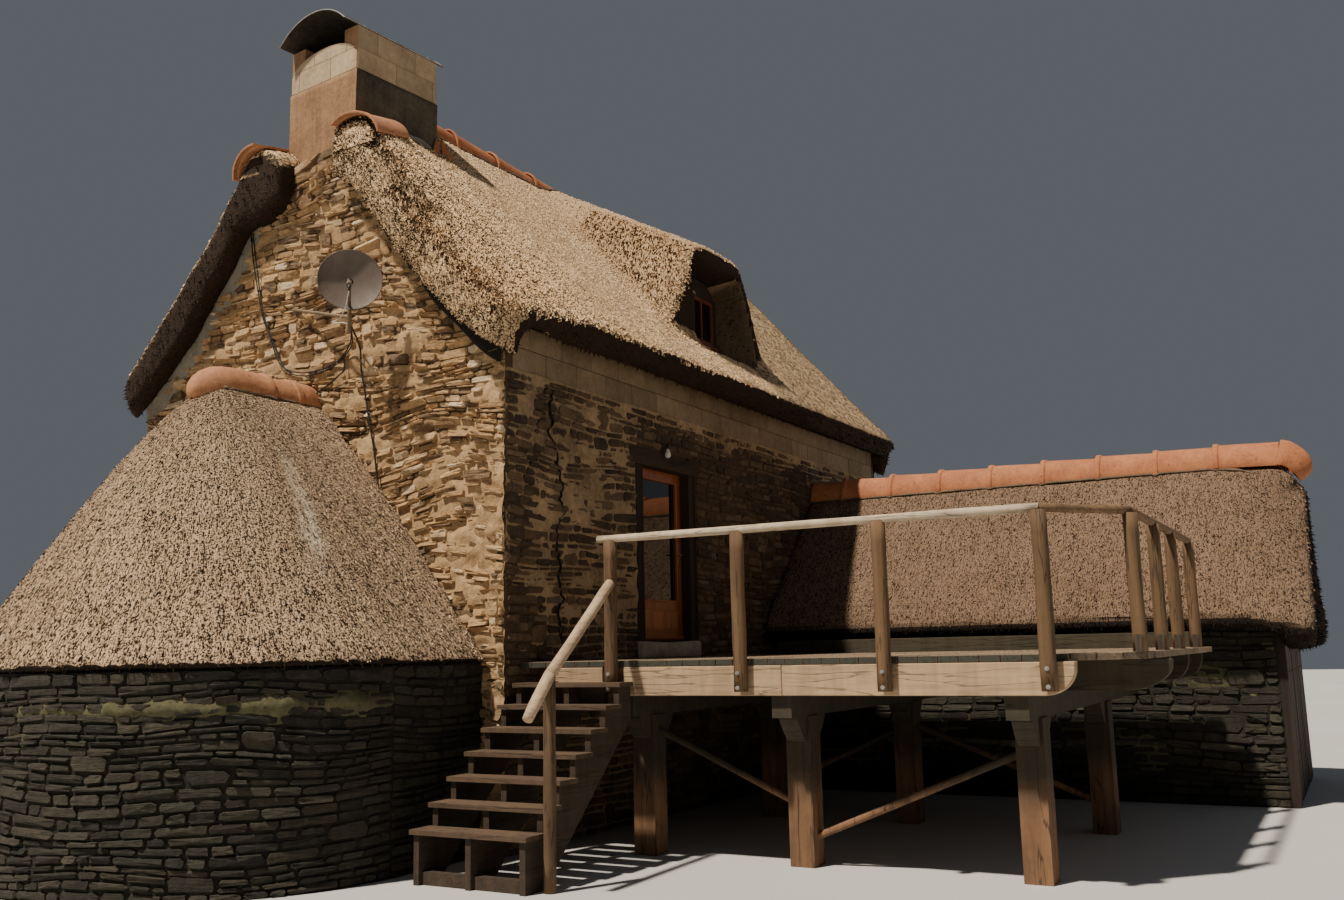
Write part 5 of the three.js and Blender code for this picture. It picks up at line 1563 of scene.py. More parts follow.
def make_chimney_fillet():
    """Mortar along the foot of the stack, on the roof and its tiles."""
    tree = bvh_of("main_thatch", "ridge_tiles", "verge_tile_front", "verge_tile_back")
    verts = []
    faces = []
    steps = 26
    for side, inner, way in ((0, -0.004, -1), (1, CHIMNEY_WIDE + 0.004, 1)):
        v = -0.075 if side == 0 else CHIMNEY_WIDE + 0.075
        bands = []
        for i in range(steps + 1):
            u = 0.3 + (CHIMNEY_LONG + 0.03 - 0.3) * i / steps
            p = on_chimney(u, v, 0)
            hit = tree.ray_cast(Vector((p.x, p.y, 8.5)), Vector((0, 0, -1)), 4)
            z = hit[0].z if hit[0] is not None else 6.8
            rough = 0.02 * lumps(u, z, 5.0, 14 + side)
            verts.append(tuple(on_chimney(u, v + way * rough, z - 0.01)))
            verts.append(tuple(on_chimney(u, (v + inner) / 2, z + 0.035 + rough)))
            verts.append(tuple(on_chimney(u, inner, z + 0.1 + rough * 2)))
        for i in range(steps):
            for a in (len(verts) - 3 * (steps + 1) + 3 * i + k for k in (0, 1)):
                bands.append((a, a + 3, a + 4, a + 1))
        faces.extend(ring if side == 0 else ring[::-1] for ring in bands)
    solid("chimney_foot_mortar", verts, faces, finish("grey_fillet"), "cottage", True)


def make_chimney_shards():
    """The row of tile shards under the coat on the gable side."""
    row = Heap()
    rng = random.Random(89)
    v = 0.0
    while v < CHIMNEY_WIDE - 0.05:
        w = rng.uniform(0.07, 0.16)
        own = Heap()
        z = 6.475 + rng.uniform(-0.01, 0.012)
        low = (-0.055 - rng.uniform(0, 0.02), v, z)
        high = (0.02, min(v + w - 0.008, CHIMNEY_WIDE), z + rng.uniform(0.035, 0.055))
        block(own, low, high, 0.004, 0.5, rng, 0.003)
        set_on_chimney(row, own, rng)
        v += w
    row.make("chimney_foot_shards", finish("chimney_shards"))


def make_broken_tile():
    """Two pieces of a broken tile stood against the stack."""
    heap = Heap()
    thick = 0.016
    shards = [((0.8, -0.7, 6.7), (1.02, -0.73, 6.74), (0.815, -0.655, 7.06)),
              ((0.6, -0.72, 6.72), (0.79, -0.7, 6.75), (0.74, -0.655, 7.02))]
    for k, shard in enumerate(shards):
        a, b, c = outline = [Vector(p) for p in shard]
        normal = (b - a).cross(c - a).normalized() * thick
        ring = []
        rng = random.Random(90 + k)
        for p, q in zip(outline, outline[1:] + outline[:1]):
            for t in np.linspace(0, 1, 6)[:-1]:
                jag = Vector((rng.uniform(-1, 1), 0, rng.uniform(-1, 1))) * 0.008
                ring.append(p.lerp(q, t) + jag)
        middle = sum(ring, Vector()) / len(ring)
        n = len(ring)
        bulge = normal * 1.8
        points = ring + [p - normal for p in ring] + [middle + bulge, middle + bulge - normal]
        verts = [tuple(p) for p in points]
        shape = []
        for i in range(n):
            j = (i + 1) % n
            shape.extend([(i, j, 2 * n), (n + j, n + i, 2 * n + 1), (j, i, n + i, n + j)])
        heap.add(verts, shape, 0.8 if k == 0 else 0.2)
    tidy_normals(heap.make("chimney_broken_tile", finish("terracotta"), smooth=False))


# Door, window and lamp
DOOR_FACE = -2.265
GLASS = (2.105, 2.842, 2.162, 3.414)


def make_door_details():
    """Beads round the glass, the boarded lower panel, the lock plate and the strips on the frame."""
    rng = random.Random(85)
    heap = Heap()
    x0, x1, z0, z1 = GLASS
    bead = 0.018
    for xa, za, xb, zb, tone in ((x0 - bead, z0 - bead, x0, z1 + bead, 0.5),
                                 (x1, z0 - bead, x1 + bead, z1 + bead, 0.6),
                                 (x0, z1, x1, z1 + bead, 0.4), (x0, z0 - bead, x1, z0, 0.5)):
        block(heap, (xa, DOOR_FACE - 0.009, za), (xb, DOOR_FACE + 0.004, zb), 0.005, tone)
    block(heap, (2.112, DOOR_FACE - 0.007, 1.845), (2.835, DOOR_FACE + 0.004, 2.055), 0.012, 0.35, rng)
    for k in range(5):
        a = 2.13 + k * 0.1386
        low, high = (a, DOOR_FACE - 0.012, 1.862), (a + 0.134, DOOR_FACE + 0.001, 2.038)
        block(heap, low, high, 0.004, 0.3 + 0.08 * (k % 3))
    block(heap, (2.02, DOOR_FACE - 0.03, 1.752), (2.93, DOOR_FACE + 0.002, 1.79), 0.012, 0.2)
    heap.make("door_beads", finish("varnished_door"), "door")
    plate = Heap()
    x = 2.887
    block(plate, (2.868, DOOR_FACE - 0.006, 2.56), (2.906, DOOR_FACE + 0.002, 2.78), 0.005, 0.5)
    tube(plate, [(x, DOOR_FACE - 0.004, 2.6), (x, DOOR_FACE - 0.012, 2.6)], 0.009, 12, 0.2)
    for z in (2.572, 2.768):
        tube(plate, [(x, DOOR_FACE - 0.004, z), (x, DOOR_FACE - 0.0085, z)], 0.004, 8, 0.9)
    plate.make("door_lock_plate", finish("galvanised"), "door")
    strips = Heap()
    for a, b, y, tone in ((1.975, 1.995, -2.372, 0.5), (2.955, 2.975, -2.372, 0.5),
                          (1.852, 1.87, -2.38, 0.4), (3.08, 3.098, -2.38, 0.4)):
        block(strips, (a, y, 1.745), (b, -2.36, 3.525), 0.004, tone)
    strips.make("door_frame_strips", finish("dark_timber_up"))


def make_door_step():
    """The worn step: a slab with a rounded, dipped tread."""
    low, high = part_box("door_step")
    columns = 26
    front = low.y
    profile = [(front + 0.012, low.z), (front, low.z + 0.02), (front, high.z - 0.03),
               (front + 0.01, high.z - 0.008), (front + 0.035, high.z),
               (front + 0.15, high.z - 0.002), (front + 0.3, high.z),
               (high.y - 0.03, high.z), (high.y, high.z - 0.01), (high.y, low.z)]
    n = len(profile)
    verts = []
    for i in range(columns + 1):
        t = i / columns
        x = low.x + (high.x - low.x) * t
        wear = 0.012 * math.sin(math.pi * t) ** 2
        for k, (y, z) in enumerate(profile):
            dip = wear * (1 if 3 <= k <= 5 else 0)
            rough = 0.003 * lumps(x * 3, k * 0.7, 3.0, 15)
            back = rough if 1 <= k <= 3 else 0
            lift = rough * 0.4 if 3 <= k <= 6 else 0
            verts.append((x, y - back, z - dip + lift))
    faces = band_faces(columns + 1, n)
    faces.append(tuple(range(n)))
    faces.append(tuple(columns * n + k for k in range(n))[::-1])
    step = solid("door_step_worn", verts, faces, finish("worn_step"), "cottage", True)
    tidy_normals(step)
    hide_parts("door_step")


def make_dormer_details():
    """Casement frames, a middle bar in each, and the sill."""
    heap = Heap()
    face = -1.915
    front, rear = face - 0.008, face + 0.026
    wide = 0.045
    for x0, x1 in ((3.32, 3.87), (3.96, 4.51)):
        for a in (x0, x1 - wide):
            block(heap, (a + 0.001, front, 5.351), (a + wide, rear, 5.919), 0.004, 0.7)
        block(heap, (x0 + wide, front, 5.351), (x1 - wide, rear, 5.4), 0.004, 0.6)
        block(heap, (x0 + wide, front, 5.875), (x1 - wide, rear, 5.919), 0.004, 0.6)
        middle = (x0 + x1) / 2
        block(heap, (middle - 0.012, front + 0.008, 5.4), (middle + 0.012, rear, 5.875), 0.003, 0.8)
    block(heap, (3.26, face - 0.06, 5.3), (4.57, face + 0.01, 5.335), 0.006, 0.4)
    block(heap, (3.895, face - 0.018, 5.34), (3.935, face + 0.004, 5.93), 0.006, 0.9)
    heap.make("dormer_casements", finish("red_brown_timber"))


def make_lamp():
    """The bulb over the door, its holder, and the wire that is clipped to the wall."""
    y = -HALF_WIDTH - 0.05
    x = 2.42
    wire = Heap()
    path = [(2.31, y + 0.03, 4.085), (2.33, y, 4.06), (2.37, y - 0.006, 3.96), (2.4, y - 0.005, 3.86),
            (x, y - 0.012, 3.79)]
    tube(wire, smooth_path(path, 20), 0.0035, 6, 0.2)
    loop = [(x, y - 0.01, 3.79), (2.47, y, 3.72), (2.56, y + 0.004, 3.64), (2.68, y + 0.006, 3.6),
            (2.8, y + 0.004, 3.63), (2.9, y, 3.69), (3.1, y + 0.01, 3.73)]
    tube(wire, smooth_path(loop, 34), 0.003, 6, 0.3)
    for cx, cz in ((2.31, 4.08), (2.47, 3.72), (2.9, 3.69), (3.1, 3.73)):
        low = (cx - 0.008, -HALF_WIDTH - 0.052, cz - 0.006)
        high = (cx + 0.008, -HALF_WIDTH + 0.004, cz + 0.006)
        block(wire, low, high, 0.002, 0.5)
    holder = [(x, y - 0.012, z) for z in (3.8, 3.795, 3.745, 3.74)]
    tube(wire, holder, [0.008, 0.017, 0.019, 0.015], 12, 0.1)
    wire.make("door_lamp_wire", finish("black_cable"), smooth=True)
    bulb = Heap()
    profile = [(0.0, 0.014), (0.012, 0.016), (0.03, 0.024), (0.05, 0.031), (0.07, 0.032), (0.085, 0.027),
               (0.096, 0.017), (0.101, 0.006)]
    tube(bulb, [(x, y - 0.012, 3.742 - h) for h, _ in profile], [r for _, r in profile], 16, 0.9)
    bulb.make("door_lamp_bulb", finish("white_plastic"), smooth=True)


def smooth_path(points, count):
    """Points on a smooth curve through the given ones."""
    points = [Vector(p) for p in points]
    ext = [points[0] * 2 - points[1]] + points + [points[-1] * 2 - points[-2]]
    out = []
    spans = len(points) - 1
    for i in range(count):
        t = spans * i / (count - 1)
        k = min(int(t), spans - 1)
        f = t - k
        a, b, c, d = ext[k:k + 4]
        cubic = (3 * b - a - 3 * c + d) * f ** 3
        out.append(0.5 * ((2 * b) + (c - a) * f + (2 * a - 5 * b + 4 * c - d) * f * f + cubic))
    return out


# Dish
DISH_FACE = Vector((-0.72, -0.69, 0.05)).normalized()
DISH_MIDDLE = Vector((-0.79, -0.985, 5.01))


def make_dish_details():
    """Rim, arm, receiver and pale lead of the dish, and the cables and iron on the gable."""
    side = DISH_FACE.cross(Vector((0, 0, 1))).normalized()
    up = side.cross(DISH_FACE)
    rim = Heap()
    angles = np.linspace(0, 2 * math.pi, 49)
    ring = [DISH_MIDDLE + (side * math.cos(a) + up * math.sin(a)) * 0.284 for a in angles]
    tube(rim, ring, 0.0045, 8, 0.5, caps=False)
    rim.make("dish_rim", finish("dish_paint"), smooth=True)
    foot = DISH_MIDDLE - DISH_FACE * 0.02 + Vector((0, 0, -0.252))
    tip = DISH_MIDDLE + DISH_FACE * 0.33 + Vector((0, 0, -0.17))
    horn = tip - DISH_FACE * 0.055 + Vector((0, 0, 0.04))
    arm = Heap()
    sleeve = [foot.lerp(tip, t) + Vector((0, 0, 0.004 * math.sin(t * 3.1))) for t in np.linspace(0.0, 1.0, 9)]
    tube(arm, sleeve, 0.0135, 10, 0.6)
    arm.make("dish_arm", finish("aged_steel"), smooth=True)
    head = Heap()
    throat = [horn, horn - DISH_FACE * 0.03 + Vector((0, 0, 0.018)),
              horn - DISH_FACE * 0.05 + Vector((0, 0, 0.03))]
    tube(head, throat, [0.03, 0.034, 0.027], 16, 0.9)
    tube(head, [tip, tip + Vector((0, 0, -0.045))], [0.012, 0.009], 10, 0.4)
    head.make("dish_receiver", finish("black_cable"), smooth=True)
    wall_x = GABLE_FACE - 0.052
    cable = Heap()
    mast = Vector((-0.703, -0.902, 4.64))
    loop = [tip + Vector(p) for p in ((0, 0, -0.05), (0.08, 0.12, -0.16), (0.2, 0.3, -0.2))]
    loop += [Vector((-0.74, -0.72, 4.66)), Vector((-0.72, -0.86, 4.64)), mast + Vector((0, 0, -0.04))]
    tube(cable, smooth_path(loop, 30), 0.0042, 6, 0.9)
    cable.make("dish_pale_lead", finish("white_plastic"), smooth=True)
    wires = Heap()

    def on_wall(*places):
        return [(wall_x, y, z) for y, z in places]

    runs = [
        on_wall((0.845, 5.93), (0.79, 5.62), (0.715, 5.32), (0.63, 5.02), (0.505, 4.77), (0.4, 4.55),
                (0.275, 4.43), (0.08, 4.37), (-0.125, 4.36), (-0.3, 4.38), (-0.455, 4.44))
        + [(wall_x - 0.03, -0.6, 4.56), (-0.56, -0.78, 4.62), mast],
        on_wall((0.815, 5.93), (0.75, 5.6), (0.68, 5.28), (0.6, 4.99), (0.46, 4.72), (0.35, 4.52),
                (0.24, 4.4), (0.08, 4.34), (-0.12, 4.33), (-0.32, 4.36), (-0.47, 4.43))
        + [(wall_x - 0.03, -0.62, 4.54), (-0.57, -0.8, 4.6), mast - Vector((0, 0, 0.02))],
        [mast, (-0.5, -0.8, 4.55)]
        + on_wall((-0.7, 4.5), (-0.72, 4.3), (-0.787, 4.0), (-0.84, 3.76), (-0.899, 3.52), (-0.94, 3.28),
                  (-0.984, 3.04)),
        on_wall((-0.5, 4.42), (-0.499, 4.32), (-0.42, 4.27), (-0.334, 4.215), (-0.22, 4.17), (-0.12, 4.12)),
    ]
    for points, thick in zip(runs, (0.0065, 0.0065, 0.009, 0.007)):
        tube(wires, smooth_path(points, 60), thick, 7, 0.3)
    clips = on_wall((0.83, 5.85), (0.7, 5.3), (0.49, 4.76), (0.26, 4.42), (-0.12, 4.35), (-0.46, 4.44),
                    (-0.787, 4.0), (-0.899, 3.52))
    for x, y, z in clips:
        low, high = (x - 0.01, y - 0.014, z - 0.006), (GABLE_FACE + 0.004, y + 0.014, z + 0.006)
        block(wires, low, high, 0.002, 0.6)
    block(wires, (wall_x - 0.02, -1.03, 3.0), (GABLE_FACE + 0.004, -0.94, 3.06), 0.006, 0.3)
    wires.make("gable_cables", finish("black_cable"), smooth=False)
    iron = Heap()
    peg = [(wall_x + 0.002, -2.1, 3.815), (wall_x, -2.105, 3.75), (wall_x + 0.002, -2.12, 3.68)]
    tube(iron, peg, 0.008, 8, 0.3)
    tube(iron, [(wall_x + 0.002, -2.107, 3.75), (GABLE_FACE + 0.02, -2.107, 3.75)], 0.007, 8, 0.3)
    bracket_bolts = ((0.2, 4.98), (0.3, 4.98), (0.2, 5.1), (0.3, 5.1))
    for y, z in bracket_bolts:
        tube(iron, [(GABLE_FACE - 0.01, y, z), (GABLE_FACE - 0.022, y, z)], 0.01, 6, 0.6)
    iron.make("gable_iron", finish("rusty_iron"), smooth=False)


# Timber of the deck
def nosed(y0, y1, length, z0, z1):
    """Side outline of a beam whose free end is rounded off below."""
    outline = [(y0, z0), (y0, z1), (y1 - length, z1)]
    for i in range(1, 9):
        a = math.pi / 2 * i / 8
        outline.append((y1 - length * math.cos(a), z1 - 0.03 - (z1 - z0 - 0.03) * math.sin(a)))
    return outline


def prism(heap, outline, x0, x1, tone):
    """An outline of (y, z) points drawn out from x0 to x1."""
    n = len(outline)
    verts = [(x0, y, z) for y, z in outline] + [(x1, y, z) for y, z in outline]
    faces = [tuple(range(n)), tuple(range(n, 2 * n))[::-1]]
    faces += [(k, n + k, n + (k + 1) % n, (k + 1) % n) for k in range(n)]
    heap.add(verts, faces, tone)


def make_deck_beams():
    """The long beams under the boards, with the face beam in two lengths, their bolts and the post shoes."""
    top = DECK_TOP - DECK_THICK - 0.003
    heap = Heap()
    prism(heap, [(-3.4, 1.287), (-3.4, top), (-4.803, top), (-4.803, 1.287)], -0.1, -0.004, 0.75)
    prism(heap, nosed(-4.807, -6.741, 0.208, 1.287, top), -0.1, -0.004, 0.85)
    prism(heap, [(-2.765, 1.37), (-2.765, top), (-3.205, top), (-3.205, 1.37)], -0.1, -0.05, 0.6)
    prism(heap, [(-2.7, 1.4), (-2.7, top), (-3.42, top), (-3.42, 1.4)], -0.066, -0.001, 0.35)
    inner = Heap()
    for x, length, tone in ((0.7, 0.35, 0.3), (2.1, 0.15, 0.4), (3.3, 0.15, 0.2), (4.3, 0.15, 0.35)):
        prism(inner, nosed(-2.45, -7.1, length, 1.287, top), x, x + 0.1, tone)
    outer = heap.make("deck_beams", finish("deck_across"))
    shaded = inner.make("deck_inner_beams", finish("shaded_beam"))
    for beams in (outer, shaded):
        tidy_normals(beams)
        bevel(beams, 0.005, 1)
        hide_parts("deck_joists")
    shoes = Heap()
    bolts = Heap()
    for y in SIDE_POSTS:
        for z in (1.35, 1.46):
            if y < -6.7 and z > 1.4:
                z = 1.47
            x = RAIL_X - 0.052
            tube(bolts, [(x + 0.01, y, z), (x - 0.005, y, z)], 0.016, 14, 0.9)
            tube(bolts, [(x - 0.004, y, z), (x - 0.016, y, z)], 0.0105, 6, 1.0)
    for x in END_POSTS:
        for way in (-1, 1):
            a = x + way * 0.05
            for b, rise in ((a + way * 0.004, 0.12), (x + way * 0.09, 0.005)):
                low = (min(a, b), RAIL_Y - 0.025, DECK_TOP)
                high = (max(a, b), RAIL_Y + 0.025, DECK_TOP + rise)
                block(shoes, low, high, 0.0015, 0.5)
            bolt = x + way * 0.072
            tube(shoes, [(bolt, RAIL_Y, DECK_TOP + 0.004), (bolt, RAIL_Y, DECK_TOP + 0.011)], 0.007, 6, 0.8)
    bolts.make("deck_bolts", finish("bright_edge"))
    shoes.make("deck_post_shoes", finish("aged_steel"))


def make_stair_details(wobble):
    """The handrail's poles, its newel and the screws in the treads."""
    poles = Heap()
    top = (-1.35, -3.565, 1.48)
    tube(poles, along(top, (RAIL_X - 0.045, -3.352, 2.185), 9), 0.042, 12, 0.85, wobble * 1.5, 31)
    radii = [0.038, 0.042] + [0.043] * 4
    tube(poles, along((-1.71, -3.638, 1.2), top, 6), radii, 12, 0.95, wobble * 1.5, 32)
    rail = poles.make("stair_handrail_pole", finish("bleached_slope"), smooth=True)
    newel = Heap()
    tube(newel, along((-1.35, -3.565, 0.0), (-1.35, -3.565, 1.47), 9), 0.045, 12, 0.3, wobble * 1.5, 33)
    post = newel.make("stair_newel", finish("brown_pole"), smooth=True)
    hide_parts("stair_handrail")
    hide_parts("stair_handrail")
    screws = Heap()
    for i in range(1, 8):
        x = DECK_LEFT - (8 - i) * 0.206 + 0.06
        z = DECK_TOP - (8 - i) * 0.168
        for y in (-3.447, -2.97, -2.492):
            for dx in (0.0, 0.09):
                if i == 7 and y < -3.4 and dx == 0.0:
                    continue
                tube(screws, [(x + dx, y, z - 0.01), (x + dx, y, z + 0.0015)], 0.0055, 6, 0.5)
    screws.make("stair_screws", finish("galvanised"))


def make_wing_end():
    """Upright boards on the wing's end, and the nails in them."""
    low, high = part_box("wing_end_boards")
    tree = bvh_of("wing_end_boards")
    rng = random.Random(86)
    heap = Heap()

    def top_at(x, floor):
        z = high.z
        while z > floor:
            if tree.ray_cast(Vector((x, WING_END - 0.2, z)), Vector((0, 1, 0)), 0.4)[0] is not None:
                return z
            z -= 0.01
        return None

    x = low.x + 0.002
    while x < high.x - 0.03:
        w = min(rng.uniform(0.13, 0.19), high.x - x)
        a, b = top_at(x + 0.01, low.z), top_at(x + w - 0.01, low.z)
        if a and b:
            y = WING_END
            foot = low.z + rng.uniform(0.0, 0.03)
            out = rng.uniform(0.016, 0.022)
            own = Heap()
            block(own, (0, y - out, 0), (w - 0.008, y + 0.004, 1), 0.004, 0.5)
            verts = []
            for px, py, pz in own.verts:
                t = px / w
                head = a + (b - a) * t
                verts.append((x + px, py, foot + pz if pz < 0.5 else head - (1 - pz)))
            heap.add(verts, own.faces, rng.random())
        x += w
    heap.make("wing_end_planks", finish("dark_timber_up"))
    nails = Heap()
    for z in (0.5, 1.3, 2.1):
        for k in range(12):
            x = low.x + 0.1 + k * 0.25
            if x < high.x - 0.05 and (top_at(x, low.z) or 0) > z + 0.1:
                tube(nails, [(x, WING_END - 0.018, z), (x, WING_END - 0.026, z)], 0.007, 6, 0.4)
    nails.make("wing_end_nails", finish("rusty_iron"))


# Roof tiles
def barrel(heap, stations, half, height, tone, seed, thick=0.018, arcs=16):
    """A half-round tile of one thickness. Each station is (place, size, grow), along the tile's length."""
    rows = []
    for i, (place, size, grow) in enumerate(stations):
        before, after = stations[max(i - 1, 0)][0], stations[min(i + 1, len(stations) - 1)][0]
        along_it = (after - before).normalized()
        side = Vector((0, 0, 1)).cross(along_it).normalized()
        up = along_it.cross(side).normalized()
        ring = []
        for inset in (0.0, thick):
            for k in range(arcs + 1):
                a = math.pi * k / arcs
                wave = 0.0035 * lumps(i * 0.3 + seed, k * 0.25, 1.7, seed)
                wide = half * size + grow - inset + wave
                tall = height * size + grow - inset + wave
                ring.append(place - side * math.cos(a) * wide + up * math.sin(a) * tall)
        rows.append(ring)
    n = arcs + 1
    verts = [tuple(p) for ring in rows for p in ring]
    faces = []
    for i in range(len(rows) - 1):
        a, b = i * 2 * n, (i + 1) * 2 * n
        for k in range(arcs):
            faces.append((a + k, a + k + 1, b + k + 1, b + k))
            faces.append((a + n + k + 1, a + n + k, b + n + k, b + n + k + 1))
        faces.append((a + n, a, b, b + n))
        faces.append((a + arcs, a + n + arcs, b + n + arcs, b + arcs))
    last = (len(rows) - 1) * 2 * n
    for k in range(arcs):
        faces.append((k + 1, k, n + k, n + k + 1))
        faces.append((last + k, last + k + 1, last + n + k + 1, last + n + k))
    heap.add(verts, faces, tone)


def tile_line(name, node, start, way, joints, half, height, finish_last=None, seed=1):
    """A row of tiles from one joint to the next; each begins with a collar over the end of the one before."""
    rng = random.Random(seed)
    heap = Heap()
    for i, (a, b) in enumerate(zip(joints, joints[1:])):
        collar = 0.016 if i or name != "wing_ridge" else 0.0
        tilt = rng.uniform(0.004, 0.012)
        stations = []
        for d, grow in ((0.0, collar), (0.008, collar + 0.004), (0.05, collar + 0.004), (0.062, 0.004)):
            stations.append((start + way * (a + d) + Vector((0, 0, tilt * (1 - d))), 1.0, grow))
        steps = 5
        for k in range(1, steps + 1):
            d = 0.062 + (b + 0.03 - a - 0.062) * k / steps
            lift = Vector((0, 0, tilt * (1 - 2 * k / steps)))
            stations.append((start + way * (a + d) + lift, 1.0, 0.003 - 0.006 * k / steps))
        barrel(heap, stations, half, height, rng.random(), seed + i)
    if finish_last:
        stations = [(Vector(p), size, grow) for p, size, grow in finish_last]
        barrel(heap, stations, half, height, rng.random(), seed + 50)
    row = heap.make(name + "_barrels", finish("terracotta"), smooth=True)
    tidy_normals(row)
    bevel(row, 0.004, 2)
    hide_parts(node)


# Closed end of the wing's ridge, from its collar on: y, height of the foot, size and extra radius
WING_END_TILE = (
    (-7.975, 3.53, 1.0, 0.016), (-7.985, 3.528, 1.0, 0.019), (-8.03, 3.516, 1.0, 0.016),
    (-8.045, 3.508, 0.99, 0.002), (-8.08, 3.486, 0.96, 0.0), (-8.11, 3.458, 0.9, 0.0),
    (-8.14, 3.424, 0.8, 0.0), (-8.16, 3.392, 0.64, 0.0),
    (-8.172, 3.366, 0.42, 0.0), (-8.178, 3.35, 0.16, 0.0),
)
# The three tiles of the lean-to, in the same way along x
LEANTO_TILES = (
    ((-0.302, 3.985, 0.93, 0.0), (-0.33, 3.988, 0.97, 0.0), (-0.4, 3.99, 1.0, 0.004), (-0.48, 3.99, 1.0, 0.0),
     (-0.58, 3.985, 0.98, 0.0)),
    ((-0.54, 3.992, 1.0, 0.012), (-0.552, 3.992, 1.0, 0.014), (-0.595, 3.992, 1.0, 0.012),
     (-0.61, 3.99, 1.0, 0.0), (-0.75, 3.986, 0.97, 0.0), (-0.9, 3.984, 0.95, 0.0)),
    ((-0.874, 3.99, 1.0, 0.014), (-0.886, 3.99, 1.0, 0.017), (-0.925, 3.99, 1.0, 0.015),
     (-0.945, 3.99, 1.0, 0.003), (-1.1, 3.992, 1.0, 0.004), (-1.25, 3.99, 1.0, 0.003),
     (-1.36, 3.984, 0.99, 0.0), (-1.43, 3.975, 0.95, 0.0), (-1.5, 3.958, 0.86, 0.0),
     (-1.555, 3.938, 0.74, 0.0), (-1.595, 3.918, 0.58, 0.0), (-1.622, 3.897, 0.38, 0.0),
     (-1.632, 3.88, 0.16, 0.0)),
)
# Collar, body and end of a verge tile: x and extra radius
VERGE_STATIONS = ((-0.563, 0.012), (-0.555, 0.015), (-0.512, 0.014), (-0.498, 0.002), (-0.4, 0.004),
                  (-0.3, 0.002), (-0.2, 0.0), (-0.112, -0.002))


def make_roof_tiles():
    """The tiles of the ridges, the lean-to and the verge, and the straw that fills the verge tiles."""
    east, south = Vector((1, 0, 0)), Vector((0, -1, 0))
    joints = [0.87, 1.63, 2.39, 3.15, 3.88]
    tile_line("main_ridge", "ridge_tiles", Vector((0, 0, 7.33)), east, joints, 0.19, 0.26, None, 91)
    joints = [2.385] + [2.815 + 0.645 * i for i in range(9)]
    end = [((WING_RIDGE_X, y, z), size, grow) for y, z, size, grow in WING_END_TILE]
    start = Vector((WING_RIDGE_X, 0, 3.53))
    tile_line("wing_ridge", "wing_ridge_tiles", start, south, joints, 0.205, 0.29, end, 92)
    heap = Heap()
    for i, run in enumerate(LEANTO_TILES):
        stations = [(Vector((x, 0, z)), size, grow) for x, z, size, grow in run]
        barrel(heap, stations, 0.19, 0.24, 0.3 + 0.3 * i, 60 + i)
    low = heap.make("leanto_barrels", finish("pale_terracotta"), smooth=True)
    tidy_normals(low)
    bevel(low, 0.004, 2)
    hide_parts("leanto_tiles")
    for name, y, z, half, height in (("verge_tile_front", -0.72, 6.5, 0.34, 0.25),
                                     ("verge_tile_back", 0.56, 6.44, 0.33, 0.29)):
        heap = Heap()
        stations = [(Vector((x, y, z + 0.1 * (x + 0.565) / 0.455)), 1.0, grow) for x, grow in VERGE_STATIONS]
        barrel(heap, stations, half, height, 0.5, 70, 0.022, 28)
        cap = heap.make(name + "_barrel", finish("pale_terracotta"), smooth=True)
        tidy_normals(cap)
        clip_at_chimney(cap)
        bevel(cap, 0.004, 2)
        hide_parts(name)
    make_verge_plug("verge_straw_plug", -0.72, 6.47, 0.33, 0.255, -0.004, "pale_thatch", 88)
    # The rear plug is dark: painted shade in the hollow under the back verge tile
    make_verge_plug("verge_rear_plug", 0.56, 6.41, 0.32, 0.3, 0.06, "cut_straw", 87)


def clip_at_chimney(piece):
    """Cuts a piece off along the chimney's two long sides."""
    mesh = bmesh.new()
    mesh.from_mesh(piece.data)
    across = CHIMNEY_TURN @ Vector((0, 1, 0))
    middle = sum((v.co for v in mesh.verts), Vector()) / len(mesh.verts)
    near = (middle - CHIMNEY_CORNER).dot(across) < CHIMNEY_WIDE / 2
    edge = CHIMNEY_CORNER if near else CHIMNEY_CORNER + across * CHIMNEY_WIDE
    normal = across if near else -across
    geometry = mesh.verts[:] + mesh.edges[:] + mesh.faces[:]
    place = edge - normal * 0.003
    cut = bmesh.ops.bisect_plane(mesh, geom=geometry, plane_co=place, plane_no=normal, clear_outer=True)
    rim = [e for e in cut["geom_cut"] if isinstance(e, bmesh.types.BMEdge)]
    bmesh.ops.holes_fill(mesh, edges=rim, sides=0)
    bmesh.ops.recalc_face_normals(mesh, faces=mesh.faces)
    mesh.to_mesh(piece.data)
    mesh.free()


